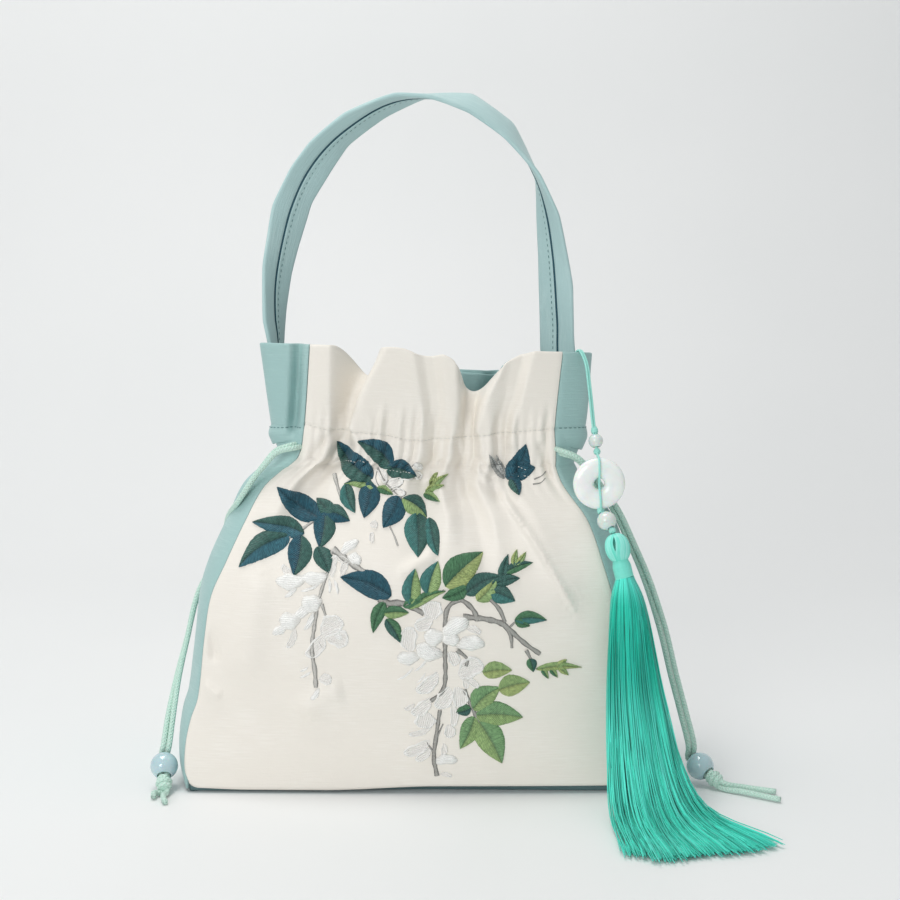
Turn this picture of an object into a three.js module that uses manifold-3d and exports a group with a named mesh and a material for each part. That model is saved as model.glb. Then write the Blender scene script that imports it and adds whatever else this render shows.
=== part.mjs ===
// Drawstring bucket bag with a tassel charm, in millimetres.
// +Z is up, the embroidered front faces -Y, and the origin is the middle of the base's underside.
import * as THREE from 'three';
import Module from 'manifold-3d';

const wasm = await Module();
wasm.setup();

const GAP = 0.3;
const WALL = 1.5;
const LINING = 1.0;
const BASE = 2.3;
const SEAM_PULL = 0.2;

const LOWER_STITCH = 160;
const UPPER_STITCH = 178;
const RIM = 218;
const RIM_TILT = -0.03;
const BACK_FALL = 9;
const FALL_FADE = 22;
const EDGE_LIFT = 2.3;
const LIFT_HEIGHT = 14;
const EDGE_FADE = 6;
const FOLD_SPREAD = 1.6;
const GUSSET_POWER = 3;
const GUSSET_FOLD_HALF = 20;

const SATIN = { color: 0xece8e2, roughness: 0.45 };
const TEAL = { color: 0xa0c6c4, roughness: 0.5 };
const STRAP_TEAL = { color: 0x86b6b4, roughness: 0.55 };
const MINT = { color: 0xaad2be, roughness: 0.4 };
const AQUA = { color: 0x78d7c8, roughness: 0.45 };
const CERAMIC = { color: 0xa3b6c4, roughness: 0.12 };
const PALE_STONE = { color: 0xe4ebe6, roughness: 0.2 };
const SILK = { color: 0x38b69a, roughness: 0.4 };

// The bag's section by height: x of the two front seams, half depth at the seams, bow of the panels
const SECTION = [
  { z: 0, left: -112.5, right: 111.5, depth: 45.5, bow: 1.5 },
  { z: 12, left: -114.5, right: 113, depth: 46, bow: 3 },
  { z: 24, left: -114, right: 112.5, depth: 46, bow: 5 },
  { z: 36, left: -111.5, right: 110.5, depth: 46, bow: 6.5 },
  { z: 47, left: -107.7, right: 107, depth: 46, bow: 8 },
  { z: 76, left: -104.3, right: 102.5, depth: 45, bow: 11 },
  { z: 97, left: -101, right: 97.5, depth: 43, bow: 12 },
  { z: 113, left: -94, right: 92.8, depth: 41, bow: 11 },
  { z: 134, left: -84.3, right: 85.3, depth: 36, bow: 8.5 },
  { z: 150, left: -75.7, right: 74, depth: 30.5, bow: 6 },
  { z: 158, left: -67, right: 70.5, depth: 27.5, bow: 4.5 },
  { z: 164, left: -59, right: 70, depth: 25.5, bow: 3.5 },
  { z: 178, left: -56, right: 69.5, depth: 25, bow: 4 },
  { z: 218, left: -55.5, right: 73, depth: 28, bow: 8 },
];

// How far each gusset stands out past its seams, and how far its middle folds in
const GUSSET = [
  { z: 0, left: 6, leftFold: 0, right: 6, rightFold: 0 },
  { z: 24, left: 7.5, leftFold: 0, right: 8, rightFold: 0 },
  { z: 47, left: 9, leftFold: 0.5, right: 10, rightFold: 0.5 },
  { z: 76, left: 8.5, leftFold: 2, right: 11.5, rightFold: 2 },
  { z: 97, left: 9.5, leftFold: 4.5, right: 14, rightFold: 4.5 },
  { z: 113, left: 12, leftFold: 6, right: 15.5, rightFold: 6 },
  { z: 134, left: 10, leftFold: 6, right: 16, rightFold: 7 },
  { z: 150, left: 11.5, leftFold: 6, right: 14.5, rightFold: 6 },
  { z: 158, left: 12, leftFold: 4, right: 13, rightFold: 4 },
  { z: 164, left: 10, leftFold: 2, right: 13, rightFold: 3 },
  { z: 178, left: 20.5, leftFold: 3, right: 20.5, rightFold: 6 },
  { z: 218, left: 28, leftFold: 6, right: 19.5, rightFold: 7.5 },
];

// Folds of the gathered panels: place across the panel (0 left seam, 1 right seam) at the neck and rim,
// half width and inward push at each, fall of the rim, sideways tuck, and reach below the neck
const FRONT_FOLDS = [
  { neck: 0.195, rim: 0.215, half: 9, rimHalf: 16, push: 8, rimPush: 22, drop: 16, tuck: 8, reach: 60 },
  { neck: 0.535, rim: 0.47, half: 7, rimHalf: 8, push: 4, rimPush: 3, drop: 1, tuck: 0, reach: 55 },
  { neck: 0.655, rim: 0.675, half: 8, rimHalf: 18, push: 8, rimPush: 24, drop: 21, tuck: -3, reach: 75 },
  { neck: 0.79, rim: 0.82, half: 7, rimHalf: 9, push: 4, rimPush: 4, drop: 2, tuck: 0, reach: 60 },
];
const BACK_FOLDS = [
  { neck: 0.22, rim: 0.23, half: 9, rimHalf: 16, push: 7, rimPush: 14, drop: 9, tuck: 0, reach: 60 },
  { neck: 0.44, rim: 0.42, half: 7, rimHalf: 9, push: 4, rimPush: 5, drop: 3, tuck: 0, reach: 55 },
  { neck: 0.64, rim: 0.65, half: 9, rimHalf: 16, push: 7, rimPush: 10, drop: 4, tuck: 0, reach: 65 },
  { neck: 0.84, rim: 0.84, half: 7, rimHalf: 9, push: 4, rimPush: 4, drop: 1, tuck: 0, reach: 50 },
];

const WALL_LEVELS = [0.6, 14, 47, 76, 97, 113, 127, 139, 150, 158, 164, 170, 178, 198, 218];
const LINING_LEVELS = [158, 164, 170, 178, 198, 218];
const FRONT_COLUMNS = 32;
const BACK_COLUMNS = 20;
const GUSSET_COLUMNS = 8;

const clamp01 = (t) => Math.min(Math.max(t, 0), 1);
const ease = (t) => clamp01(t) * clamp01(t) * (3 - 2 * clamp01(t));
const mix = (a, b, t) => a + (b - a) * t;
const bump = (t) => (Math.abs(t) < 1 ? 0.5 + 0.5 * Math.cos(Math.PI * t) : 0);
const vec = (row) => new THREE.Vector3(row.x, row.y, row.z);

// One column of a table, read at a height by a cubic through its rows
function read(rows, column, z) {
  const last = rows.length - 1;
  const at = Math.min(Math.max(z, rows[0].z), rows[last].z);
  const i = Math.max(rows.findIndex((row) => row.z >= at) - 1, 0);
  const slope = (k) => {
    const low = rows[Math.max(k - 1, 0)];
    const high = rows[Math.min(k + 1, last)];
    return (high[column] - low[column]) / (high.z - low.z);
  };
  const step = rows[i + 1].z - rows[i].z;
  const t = (at - rows[i].z) / step;
  const from = rows[i][column];
  const to = rows[i + 1][column];
  const start = slope(i) * step;
  const end = slope(i + 1) * step;
  return from + t * (start + t * (3 * (to - from) - 2 * start - end + t * (2 * (from - to) + start + end)));
}

const riseAt = (z) => clamp01((z - UPPER_STITCH) / (RIM - UPPER_STITCH));

// A point of the front (facing -1) or back (facing 1) panel
function panelPoint(facing, folds, across, z, lift, fall) {
  const left = read(SECTION, 'left', z);
  const span = read(SECTION, 'right', z) - left;
  const rise = riseAt(z);
  const point = new THREE.Vector3(left + span * across, 0, z);
  let out = read(SECTION, 'depth', z) + read(SECTION, 'bow', z) * (1 - Math.abs(2 * across - 1) ** 2.2);
  const fromSeam = Math.min(across, 1 - across) * span;
  const fade = ease(fromSeam / EDGE_FADE);
  for (const fold of folds) {
    const down = clamp01((LOWER_STITCH - z) / fold.reach);
    const half = mix(fold.half, fold.rimHalf, rise) * (1 + FOLD_SPREAD * down);
    const push = mix(fold.push, fold.rimPush, rise) * (1 - ease(down));
    const amount = fade * bump(((across - mix(fold.neck, fold.rim, rise)) * span) / half);
    out -= push * amount;
    point.x += fold.tuck * amount * rise;
    point.z -= fold.drop * amount * rise * rise;
  }
  point.y = facing * out;
  point.z += rise * (RIM_TILT * point.x - fall * ease(fromSeam / FALL_FADE));
  point.z += lift * ease((across - 0.3) * 4) * clamp01(1 - z / LIFT_HEIGHT);
  return point;
}

// A point of the left (side -1) or right (side 1) gusset, from the front seam (0) to the back seam (1)
function gussetPoint(side, through, z) {
  const name = side < 0 ? 'left' : 'right';
  const depth = read(SECTION, 'depth', z);
  const y = depth * (2 * through - 1);
  const stand = read(GUSSET, name, z) * (1 - Math.abs(2 * through - 1) ** GUSSET_POWER);
  const fold = read(GUSSET, `${name}Fold`, z) * bump(y / Math.min(GUSSET_FOLD_HALF, depth));
  const x = read(SECTION, name, z) + side * (stand - fold);
  return new THREE.Vector3(x, y, z + riseAt(z) * RIM_TILT * x);
}

// The bag's outline at one height: front, right gusset, back, left gusset
function outline(z, lift) {
  const ring = [];
  for (let i = 0; i < FRONT_COLUMNS; i += 1) {
    ring.push(panelPoint(-1, FRONT_FOLDS, i / FRONT_COLUMNS, z, lift, 0));
  }
  for (let i = 0; i < GUSSET_COLUMNS; i += 1) {
    ring.push(gussetPoint(1, i / GUSSET_COLUMNS, z));
  }
  for (let i = 0; i < BACK_COLUMNS; i += 1) {
    ring.push(panelPoint(1, BACK_FOLDS, 1 - i / BACK_COLUMNS, z, 0, BACK_FALL));
  }
  for (let i = 0; i < GUSSET_COLUMNS; i += 1) {
    ring.push(gussetPoint(-1, 1 - i / GUSSET_COLUMNS, z));
  }
  return ring;
}

// Outward directions over a stack of outlines
function outward(rows) {
  const count = rows[0].length;
  return rows.map((row, j) => row.map((_, k) => {
    const along = row[(k + 1) % count].clone().sub(row[(k + count - 1) % count]);
    const up = rows[Math.min(j + 1, rows.length - 1)][k].clone().sub(rows[Math.max(j - 1, 0)][k]);
    return along.cross(up).normalize();
  }));
}

const inset = (rows, normals, distance) =>
  rows.map((row, j) => row.map((point, k) => point.clone().addScaledVector(normals[j][k], -distance)));

function geometryOf(points, faces) {
  const geometry = new THREE.BufferGeometry();
  geometry.setFromPoints(points);
  geometry.setIndex(faces.flat());
  geometry.computeVertexNormals();
  return geometry;
}

// Two triangles over the four points a, b, c, d, in turn
const quad = (a, b, c, d) => [[a, b, c], [a, c, d]];

// A closed cloth piece between an outer and an inner grid of points
function clothPiece(outer, inner) {
  const rows = outer.length;
  const columns = outer[0].length;
  const half = rows * columns;
  const faces = [];
  const at = (j, k) => j * columns + k;
  for (let j = 0; j < rows - 1; j += 1) {
    for (let k = 0; k < columns - 1; k += 1) {
      const here = at(j, k);
      const above = at(j + 1, k);
      faces.push(...quad(here, here + 1, above + 1, above));
      faces.push(...quad(half + here, half + above, half + above + 1, half + here + 1));
    }
    const end = columns - 1;
    faces.push(...quad(at(j, 0), at(j + 1, 0), half + at(j + 1, 0), half + at(j, 0)));
    faces.push(...quad(at(j, end), half + at(j, end), half + at(j + 1, end), at(j + 1, end)));
  }
  for (let k = 0; k < columns - 1; k += 1) {
    const top = rows - 1;
    faces.push(...quad(at(0, k), half + at(0, k), half + at(0, k + 1), at(0, k + 1)));
    faces.push(...quad(at(top, k), at(top, k + 1), half + at(top, k + 1), half + at(top, k)));
  }
  return geometryOf([...outer.flat(), ...inner.flat()], faces);
}

const wallRows = WALL_LEVELS.map((z) => outline(z, EDGE_LIFT));
const wallNormals = outward(wallRows);
const wallInside = inset(wallRows, wallNormals, WALL);

// One panel of the wall, from one outline column to another, drawn in a little at its two seams
function panel(from, to) {
  const count = wallRows[0].length;
  const cut = (row) => {
    const line = [];
    for (let k = from; k <= to; k += 1) {
      line.push(row[k % count].clone());
    }
    const last = line.length - 1;
    const atStart = line[1].clone().sub(line[0]).setLength(SEAM_PULL);
    const atEnd = line[last - 1].clone().sub(line[last]).setLength(SEAM_PULL);
    line[0].add(atStart);
    line[last].add(atEnd);
    return line;
  };
  return clothPiece(wallRows.map(cut), wallInside.map(cut));
}

// The lining is built where it shows: a band inside the channel and the ruffle
function liningBand() {
  const rows = LINING_LEVELS.map((z) => outline(z, 0));
  const normals = outward(rows);
  const points = [...inset(rows, normals, WALL + GAP), ...inset(rows, normals, WALL + GAP + LINING)].flat();
  const columns = rows[0].length;
  const half = rows.length * columns;
  const top = half - columns;
  const faces = [];
  for (let k = 0; k < columns; k += 1) {
    const next = (k + 1) % columns;
    for (let low = 0; low < top; low += columns) {
      const high = low + columns;
      faces.push(...quad(low + k, low + next, high + next, high + k));
      faces.push(...quad(half + low + k, half + high + k, half + high + next, half + low + next));
    }
    faces.push(...quad(top + k, top + next, half + top + next, half + top + k));
    faces.push(...quad(k, half + k, half + next, next));
  }
  return geometryOf(points, faces);
}

function basePlate() {
  const edge = inset(wallRows, wallNormals, WALL + 2 * GAP)[0];
  const shape = new THREE.Shape(edge.map((point) => new THREE.Vector2(point.x, point.y)));
  return new THREE.ExtrudeGeometry(shape, { depth: BASE, bevelEnabled: false });
}

// The strap's middle line; turn is how far its seam face looks towards the front
const STRAP_WIDTH = 20;
const STRAP_THICK = 2.2;
const STRAP_STEPS = 34;
const STRAP_INSET = WALL + GAP + LINING + GAP + STRAP_THICK / 2 + 1;
const sewn = (side, z) => ({ x: gussetPoint(side, 0.5, z).x - side * STRAP_INSET, y: 0, z, turn: 0 });
const STRAP = [
  sewn(-1, 192),
  sewn(-1, 206),
  sewn(-1, 217),
  { x: -73, y: 0, z: 232, turn: 24 },
  { x: -71, y: 0, z: 258, turn: 40 },
  { x: -64.3, y: 0, z: 287, turn: 56 },
  { x: -54.5, y: 0, z: 307, turn: 52 },
  { x: -38.7, y: 0, z: 326, turn: 36 },
  { x: -17.3, y: 0, z: 339.5, turn: 24 },
  { x: 5.4, y: 0, z: 344.5, turn: -8 },
  { x: 25, y: 0, z: 342, turn: -32 },
  { x: 45, y: 0, z: 329, turn: -30 },
  { x: 61, y: 0, z: 306, turn: -2 },
  { x: 65.8, y: 0, z: 287, turn: 27 },
  { x: 70, y: 0, z: 262, turn: 50 },
  { x: 71.5, y: 0, z: 234, turn: 55 },
  { x: 72, y: 0, z: 218, turn: 50 },
  { x: 75, y: 0, z: 204, turn: 22 },
  sewn(1, 190),
];

// A value of the strap table between its rows, by the same even spacing as the curve through them
function strapTurn(t) {
  const at = t * (STRAP.length - 1);
  const i = Math.min(Math.floor(at), STRAP.length - 2);
  return THREE.MathUtils.degToRad(mix(STRAP[i].turn, STRAP[i + 1].turn, at - i));
}

function strap() {
  const curve = new THREE.CatmullRomCurve3(STRAP.map(vec), false, 'centripetal');
  const across = new THREE.Vector3(0, 1, 0);
  const points = [];
  const faces = [];
  for (let i = 0; i <= STRAP_STEPS; i += 1) {
    const t = i / STRAP_STEPS;
    const tangent = curve.getTangent(t);
    const inward = across.clone().cross(tangent).normalize();
    const turn = strapTurn(t);
    const face = inward.multiplyScalar(Math.cos(turn)).addScaledVector(across, -Math.sin(turn)).normalize();
    const width = tangent.clone().cross(face).normalize();
    for (const [w, f] of [[-1, -1], [1, -1], [1, 1], [-1, 1]]) {
      const corner = curve.getPoint(t);
      corner.addScaledVector(width, (w * STRAP_WIDTH) / 2).addScaledVector(face, (f * STRAP_THICK) / 2);
      points.push(corner);
    }
    for (let k = 0; k < 4 && i < STRAP_STEPS; k += 1) {
      const next = (k + 1) % 4;
      faces.push(...quad(4 * i + k, 4 * i + 4 + k, 4 * i + 4 + next, 4 * i + next));
    }
  }
  const end = 4 * STRAP_STEPS;
  faces.push(...quad(0, 1, 2, 3), ...quad(end + 3, end + 2, end + 1, end));
  return geometryOf(points, faces);
}

// A round cord along a table of points
function cord(route, diameter, steps) {
  const section = new THREE.Shape();
  const sides = 8;
  for (let k = 0; k < sides; k += 1) {
    const angle = (2 * Math.PI * k) / sides;
    const x = (diameter / 2) * Math.cos(angle);
    const y = (diameter / 2) * Math.sin(angle);
    if (k === 0) {
      section.moveTo(x, y);
    } else {
      section.lineTo(x, y);
    }
  }
  const extrudePath = new THREE.CatmullRomCurve3(route.map(vec), false, 'centripetal');
  return new THREE.ExtrudeGeometry(section, { steps, bevelEnabled: false, extrudePath });
}

// The middle line of each pair of drawstring ends, from the channel's end to the bead;
// lay is how far the pair is turned from side by side (0) towards one behind the other (90)
const CORD = 2.8;
const CORD_STEPS = 17;
const TAIL_STEPS = 4;
const LEFT_CORD = [
  { x: -61.5, y: -30, z: 165.5, lay: 0 },
  { x: -69, y: -29.5, z: 165.5, lay: 0 },
  { x: -75.5, y: -29, z: 161, lay: 0 },
  { x: -80.5, y: -29.5, z: 154.5, lay: 0 },
  { x: -87.5, y: -29.5, z: 143.5, lay: 20 },
  { x: -96, y: -22.5, z: 134, lay: 50 },
  { x: -100.6, y: -11, z: 124, lay: 80 },
  { x: -105, y: -4, z: 110, lay: 90 },
  { x: -113.5, y: -3, z: 91, lay: 90 },
  { x: -118.5, y: -9, z: 69, lay: 80 },
  { x: -122, y: -18, z: 51, lay: 60 },
  { x: -124, y: -30, z: 33, lay: 20 },
  { x: -125, y: -37.5, z: 20, lay: 0 },
];
const RIGHT_CORD = [
  { x: 72, y: -30, z: 166.5, lay: 0 },
  { x: 79, y: -28, z: 164.5, lay: 0 },
  { x: 85, y: -26, z: 159, lay: 0 },
  { x: 93, y: -24, z: 147.5, lay: 30 },
  { x: 101, y: -21, z: 136, lay: 40 },
  { x: 109, y: -18, z: 119.5, lay: 40 },
  { x: 117, y: -17, z: 101, lay: 30 },
  { x: 125, y: -20, z: 76, lay: 0 },
  { x: 130, y: -25, z: 54, lay: 0 },
  { x: 134.5, y: -29, z: 36, lay: 0 },
  { x: 138.5, y: -33, z: 18.5, lay: 0 },
];

// Beads and knots at the cord ends; the axis runs from the bead to the knot
const BEAD = { radius: 6.8, hole: 3.5, sides: 14 };
const LEFT_END = { x: -125.2, y: -42.5, z: 11.5, toX: 0.12, toY: -0.72, toZ: -0.6 };
const RIGHT_END = { x: 142.5, y: -36.5, z: 9.5, toX: 0.55, toY: -0.62, toZ: -0.4 };
const KNOT = { radius: 4.2, length: 8.4, sides: 10 };
const LEFT_TAILS = [
  [{ x: -127.5, y: -57, z: 2.6 }, { x: -127, y: -61, z: 1.8 }],
  [{ x: -122.5, y: -60, z: 2.2 }, { x: -120, y: -68.5, z: 1.8 }],
];
const RIGHT_TAILS = [
  [{ x: 161, y: -54, z: 2 }, { x: 176.5, y: -65, z: 1.8 }],
  [{ x: 163, y: -47, z: 2 }, { x: 177, y: -53, z: 1.8 }],
];

// A solid of revolution about +Y through [radius, height] pairs that close on themselves or on the axis
const turned = (profile, sides) =>
  new THREE.LatheGeometry(profile.map(([radius, height]) => new THREE.Vector2(radius, height)), sides);

// Moves such a solid's mesh to a place, with its axis along a direction
function stand(mesh, place, axis) {
  mesh.position.set(place.x, place.y, place.z);
  mesh.quaternion.setFromUnitVectors(new THREE.Vector3(0, 1, 0), axis.clone().normalize());
}

// A round bead with a hole through it
function bead(radius, hole, sides) {
  const profile = [];
  const flat = Math.acos(hole / radius);
  const arc = Math.round(sides / 2);
  for (let i = 0; i <= arc; i += 1) {
    const angle = mix(-flat, flat, i / arc);
    profile.push([radius * Math.cos(angle), radius * Math.sin(angle)]);
  }
  return turned([...profile, profile[0]], sides);
}

// A rounded lump closed on its axis
function lump(radius, length, sides) {
  const profile = [];
  const arc = 6;
  for (let i = 0; i <= arc; i += 1) {
    const angle = mix(-Math.PI / 2, Math.PI / 2, i / arc);
    profile.push([i % arc === 0 ? 0 : radius * Math.cos(angle) ** 0.8, (length / 2) * Math.sin(angle)]);
  }
  return turned(profile, sides);
}

// The charm's doubled cord from inside the rim to the tassel; dx and dy set its two strands apart
const CHARM_CORD = 1.1;
const CHARM_STEPS = 24;
const CHARM_HOLE = 1.8;
const CHARM = [
  { x: 77.6, y: -15.6, z: 203, dx: 0.52, dy: 0.39 },
  { x: 78.8, y: -18, z: 212, dx: 0.52, dy: 0.39 },
  { x: 81.4, y: -22, z: 218.8, dx: 0.52, dy: 0.39 },
  { x: 84.2, y: -26, z: 212, dx: 0.52, dy: 0.39 },
  { x: 86, y: -29, z: 199, dx: 0.52, dy: 0.39 },
  { x: 88, y: -31, z: 180, dx: 0.52, dy: 0.39 },
  { x: 89, y: -32.2, z: 172.8, dx: 0.3, dy: 0.7 },
  { x: 89.4, y: -34.6, z: 167.2, dx: 0, dy: 0.8 },
  { x: 89.9, y: -37.4, z: 164.8, dx: 0, dy: 2.9 },
  { x: 90.1, y: -37.5, z: 160.3, dx: 0, dy: 4 },
  { x: 90.2, y: -37.5, z: 156.5, dx: 0, dy: 3.4 },
  { x: 90.3, y: -37.5, z: 152.3, dx: 0, dy: 0.9 },
  { x: 90.5, y: -37.5, z: 148.1, dx: 0, dy: 3.4 },
  { x: 90.8, y: -37.5, z: 144.3, dx: 0, dy: 4 },
  { x: 91, y: -37.5, z: 140.6, dx: 0, dy: 3.5 },
  { x: 91.9, y: -39.5, z: 138, dx: 0.4, dy: 0.7 },
  { x: 93.7, y: -42, z: 134.4, dx: 0.55, dy: 0.5 },
  { x: 97.2, y: -45.4, z: 129.4, dx: 0.5, dy: 0.4 },
];
const CHARM_BEADS = [
  { name: 'charm_bead_upper', x: 89, y: -32.2, z: 172.8, radius: 3.6, toX: 0.1, toY: -0.3, toZ: -1 },
  { name: 'charm_bead_lower', x: 93.7, y: -42, z: 134.4, radius: 4.7, toX: 0.5, toY: -0.55, toZ: -0.85 },
];

// The ring has an oval section and faces the front
const RING = { x: 90.3, y: -37.5, z: 152.3, radius: 12.8, hole: 2.6, thick: 6, sides: 24, arc: 10 };

function stoneRing() {
  const middle = (RING.radius + RING.hole) / 2;
  const half = (RING.radius - RING.hole) / 2;
  const profile = [];
  for (let i = 0; i <= RING.arc; i += 1) {
    const angle = (2 * Math.PI * i) / RING.arc;
    profile.push([middle + half * Math.cos(angle), (RING.thick / 2) * Math.sin(angle)]);
  }
  return turned(profile, RING.sides);
}

// The tassel's head and bound neck, from the top down
const HEAD = [
  { x: 97.6, y: -45.9, z: 128.6, r: 1.4 },
  { x: 97.9, y: -46.1, z: 127, r: 4.3 },
  { x: 98.5, y: -46.5, z: 122.6, r: 5.7 },
  { x: 99.4, y: -47.1, z: 118, r: 4.8 },
  { x: 99.8, y: -47.4, z: 116, r: 4.1 },
  { x: 100, y: -47.5, z: 115.2, r: 4.5 },
  { x: 102, y: -48.9, z: 107, r: 4.7 },
  { x: 102.2, y: -49.2, z: 105, r: 3 },
];
// Locks of the fringe: where each leaves the neck, hangs, meets the floor and ends
const LOCKS = [
  { fromX: -2.5, fromY: -1, midX: 95.5, midY: -64, footX: 96.5, footY: -92, tipX: 96, tipY: -136 },
  { fromX: -1.5, fromY: -2.5, midX: 99.5, midY: -68, footX: 102, footY: -99, tipX: 105, tipY: -143 },
  { fromX: 0, fromY: -3, midX: 104, midY: -70, footX: 108, footY: -102, tipX: 115, tipY: -143 },
  { fromX: 1.5, fromY: -2.5, midX: 109, midY: -69, footX: 114, footY: -100, tipX: 127, tipY: -138 },
  { fromX: 2.5, fromY: -1.5, midX: 112, midY: -66, footX: 119, footY: -96, tipX: 140, tipY: -136 },
  { fromX: 3, fromY: 0, midX: 113.5, midY: -63, footX: 122, footY: -91, tipX: 152, tipY: -132 },
  { fromX: 3, fromY: 1.5, midX: 113, midY: -60, footX: 123, footY: -85, tipX: 162, tipY: -126 },
  { fromX: 1.5, fromY: 2.5, midX: 109, midY: -58, footX: 115, footY: -82, tipX: 144, tipY: -117 },
  { fromX: -0.5, fromY: 2.5, midX: 103, midY: -57, footX: 107, footY: -82, tipX: 121, tipY: -119 },
  { fromX: -2.5, fromY: 1.5, midX: 97.5, midY: -58, footX: 100, footY: -82, tipX: 105, tipY: -119 },
];
const NECK_FOOT = { x: 102.1, y: -49, z: 107.5 };
const LOCK_MID = 50;
const LOCK_FOOT = 7.5;
const LOCK_TIP = 1.8;
const LOCK_SECTIONS = [
  { at: 0, wide: 2.4, thick: 2.2 },
  { at: 0.2, wide: 3.6, thick: 3.2 },
  { at: 0.5, wide: 5, thick: 3.8 },
  { at: 0.75, wide: 6, thick: 3.2 },
  { at: 0.9, wide: 6.2, thick: 2.2 },
  { at: 1, wide: 4.4, thick: 1.4 },
];
const LOCK_SIDES = 6;

// A closed solid through rings of points, each ring an oval about its place
function ovalSolid(rings, sides) {
  const points = [];
  const triangles = [];
  for (const { place, across, over } of rings) {
    for (let k = 0; k < sides; k += 1) {
      const angle = (2 * Math.PI * k) / sides;
      const point = place.clone().addScaledVector(across, Math.cos(angle));
      points.push(point.addScaledVector(over, Math.sin(angle)));
    }
  }
  const last = rings.length - 1;
  for (let k = 0; k < sides; k += 1) {
    const next = (k + 1) % sides;
    for (let low = 0; low < last * sides; low += sides) {
      triangles.push(...quad(low + k, low + next, low + sides + next, low + sides + k));
    }
    triangles.push([points.length, next, k], [points.length + 1, last * sides + k, last * sides + next]);
  }
  points.push(rings[0].place.clone(), rings[last].place.clone());
  const vertProperties = new Float32Array(points.flatMap((point) => point.toArray()));
  const triVerts = new Uint32Array(triangles.flat());
  return new wasm.Manifold(new wasm.Mesh({ numProp: 3, vertProperties, triVerts }));
}

// An oval ring square to a run, level across
function ovalRing(place, run, wide, thick) {
  const across = run.clone().cross(new THREE.Vector3(0, 0, 1)).normalize();
  const over = run.clone().cross(across).normalize();
  return { place, across: across.multiplyScalar(wide), over: over.multiplyScalar(thick) };
}

function lock({ fromX, fromY, midX, midY, footX, footY, tipX, tipY }) {
  const curve = new THREE.CatmullRomCurve3([
    new THREE.Vector3(NECK_FOOT.x + fromX, NECK_FOOT.y + fromY, NECK_FOOT.z),
    new THREE.Vector3(midX, midY, LOCK_MID),
    new THREE.Vector3(footX, footY, LOCK_FOOT),
    new THREE.Vector3(tipX, tipY, LOCK_TIP),
  ]);
  const rings = LOCK_SECTIONS.map(({ at, wide, thick }) =>
    ovalRing(curve.getPoint(at), curve.getTangent(at), wide, thick));
  return ovalSolid(rings, LOCK_SIDES);
}

function tassel() {
  const run = vec(HEAD[6]).sub(vec(HEAD[5]));
  const head = ovalSolid(HEAD.map((row) => ovalRing(vec(row), run, row.r, row.r)), 12);
  const whole = LOCKS.reduce((solid, row) => solid.add(lock(row)), head);
  const { vertProperties, triVerts } = whole.getMesh();
  const geometry = new THREE.BufferGeometry();
  geometry.setAttribute('position', new THREE.BufferAttribute(vertProperties, 3));
  geometry.setIndex(new THREE.BufferAttribute(triVerts, 1));
  geometry.computeVertexNormals();
  return geometry;
}

const part = new THREE.Group();
const bag = new THREE.Group();
const drawstring = new THREE.Group();
const charm = new THREE.Group();
part.add(bag, drawstring, charm);

function add(group, name, geometry, look) {
  const mesh = new THREE.Mesh(geometry, new THREE.MeshStandardMaterial(look));
  mesh.name = name;
  group.add(mesh);
  return mesh;
}

const rightSeam = FRONT_COLUMNS;
const rightBack = rightSeam + GUSSET_COLUMNS;
const leftBack = rightBack + BACK_COLUMNS;
const leftSeam = leftBack + GUSSET_COLUMNS;

add(bag, 'front_panel', panel(0, rightSeam), SATIN);
add(bag, 'right_gusset', panel(rightSeam, rightBack), TEAL);
add(bag, 'back_panel', panel(rightBack, leftBack), SATIN);
add(bag, 'left_gusset', panel(leftBack, leftSeam), TEAL);
add(bag, 'lining', liningBand(), TEAL);
add(bag, 'base_panel', basePlate(), TEAL);
add(bag, 'handle_strap', strap(), STRAP_TEAL);

// Square to a cord's run: sideways as seen from the front, or turned from that by an angle in degrees
function besideRun(points, i, lay) {
  const run = points[Math.min(i + 1, points.length - 1)].clone().sub(points[Math.max(i - 1, 0)]);
  const beside = new THREE.Vector3(run.z, 0, -run.x).normalize();
  const behind = run.normalize().clone().cross(beside);
  const angle = THREE.MathUtils.degToRad(lay);
  return beside.multiplyScalar(Math.cos(angle)).addScaledVector(behind, Math.sin(angle));
}

// The two cords of a pair lie side by side, go through the bead into the knot, and leave it as two tails
function cordPair(side, route, end, tails) {
  const axis = new THREE.Vector3(end.toX, end.toY, end.toZ).normalize();
  const place = vec(end);
  const knotPlace = place.clone().addScaledVector(axis, BEAD.radius + KNOT.length / 2 - 0.9);
  const knotTop = knotPlace.clone().addScaledVector(axis, -KNOT.length / 2 - 0.6);
  const knotFoot = knotPlace.clone().addScaledVector(axis, KNOT.length / 2 + 3 * GAP);
  const points = [...route.map(vec), place.clone().addScaledVector(axis, -BEAD.radius), place, knotTop];
  const apart = CORD / 2 + 0.2;
  ['a', 'b'].forEach((letter, i) => {
    const hand = i === 0 ? apart : -apart;
    const line = points.map((point, k) => {
      const lay = k < route.length ? route[k].lay : 0;
      return point.clone().addScaledVector(besideRun(points, k, lay), hand);
    });
    const foot = knotFoot.clone().addScaledVector(besideRun(points, points.length - 1, 0), hand);
    add(drawstring, `${side}_cord_${letter}`, cord(line, CORD, CORD_STEPS), MINT);
    add(drawstring, `${side}_tail_${letter}`, cord([foot, ...tails[i]], CORD, TAIL_STEPS), MINT);
  });
  stand(add(drawstring, `${side}_bead`, bead(BEAD.radius, BEAD.hole, BEAD.sides), CERAMIC), place, axis);
  stand(add(drawstring, `${side}_knot`, lump(KNOT.radius, KNOT.length, KNOT.sides), MINT), knotPlace, axis);
}

cordPair('left', LEFT_CORD, LEFT_END, LEFT_TAILS);
cordPair('right', RIGHT_CORD, RIGHT_END, RIGHT_TAILS);

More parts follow.
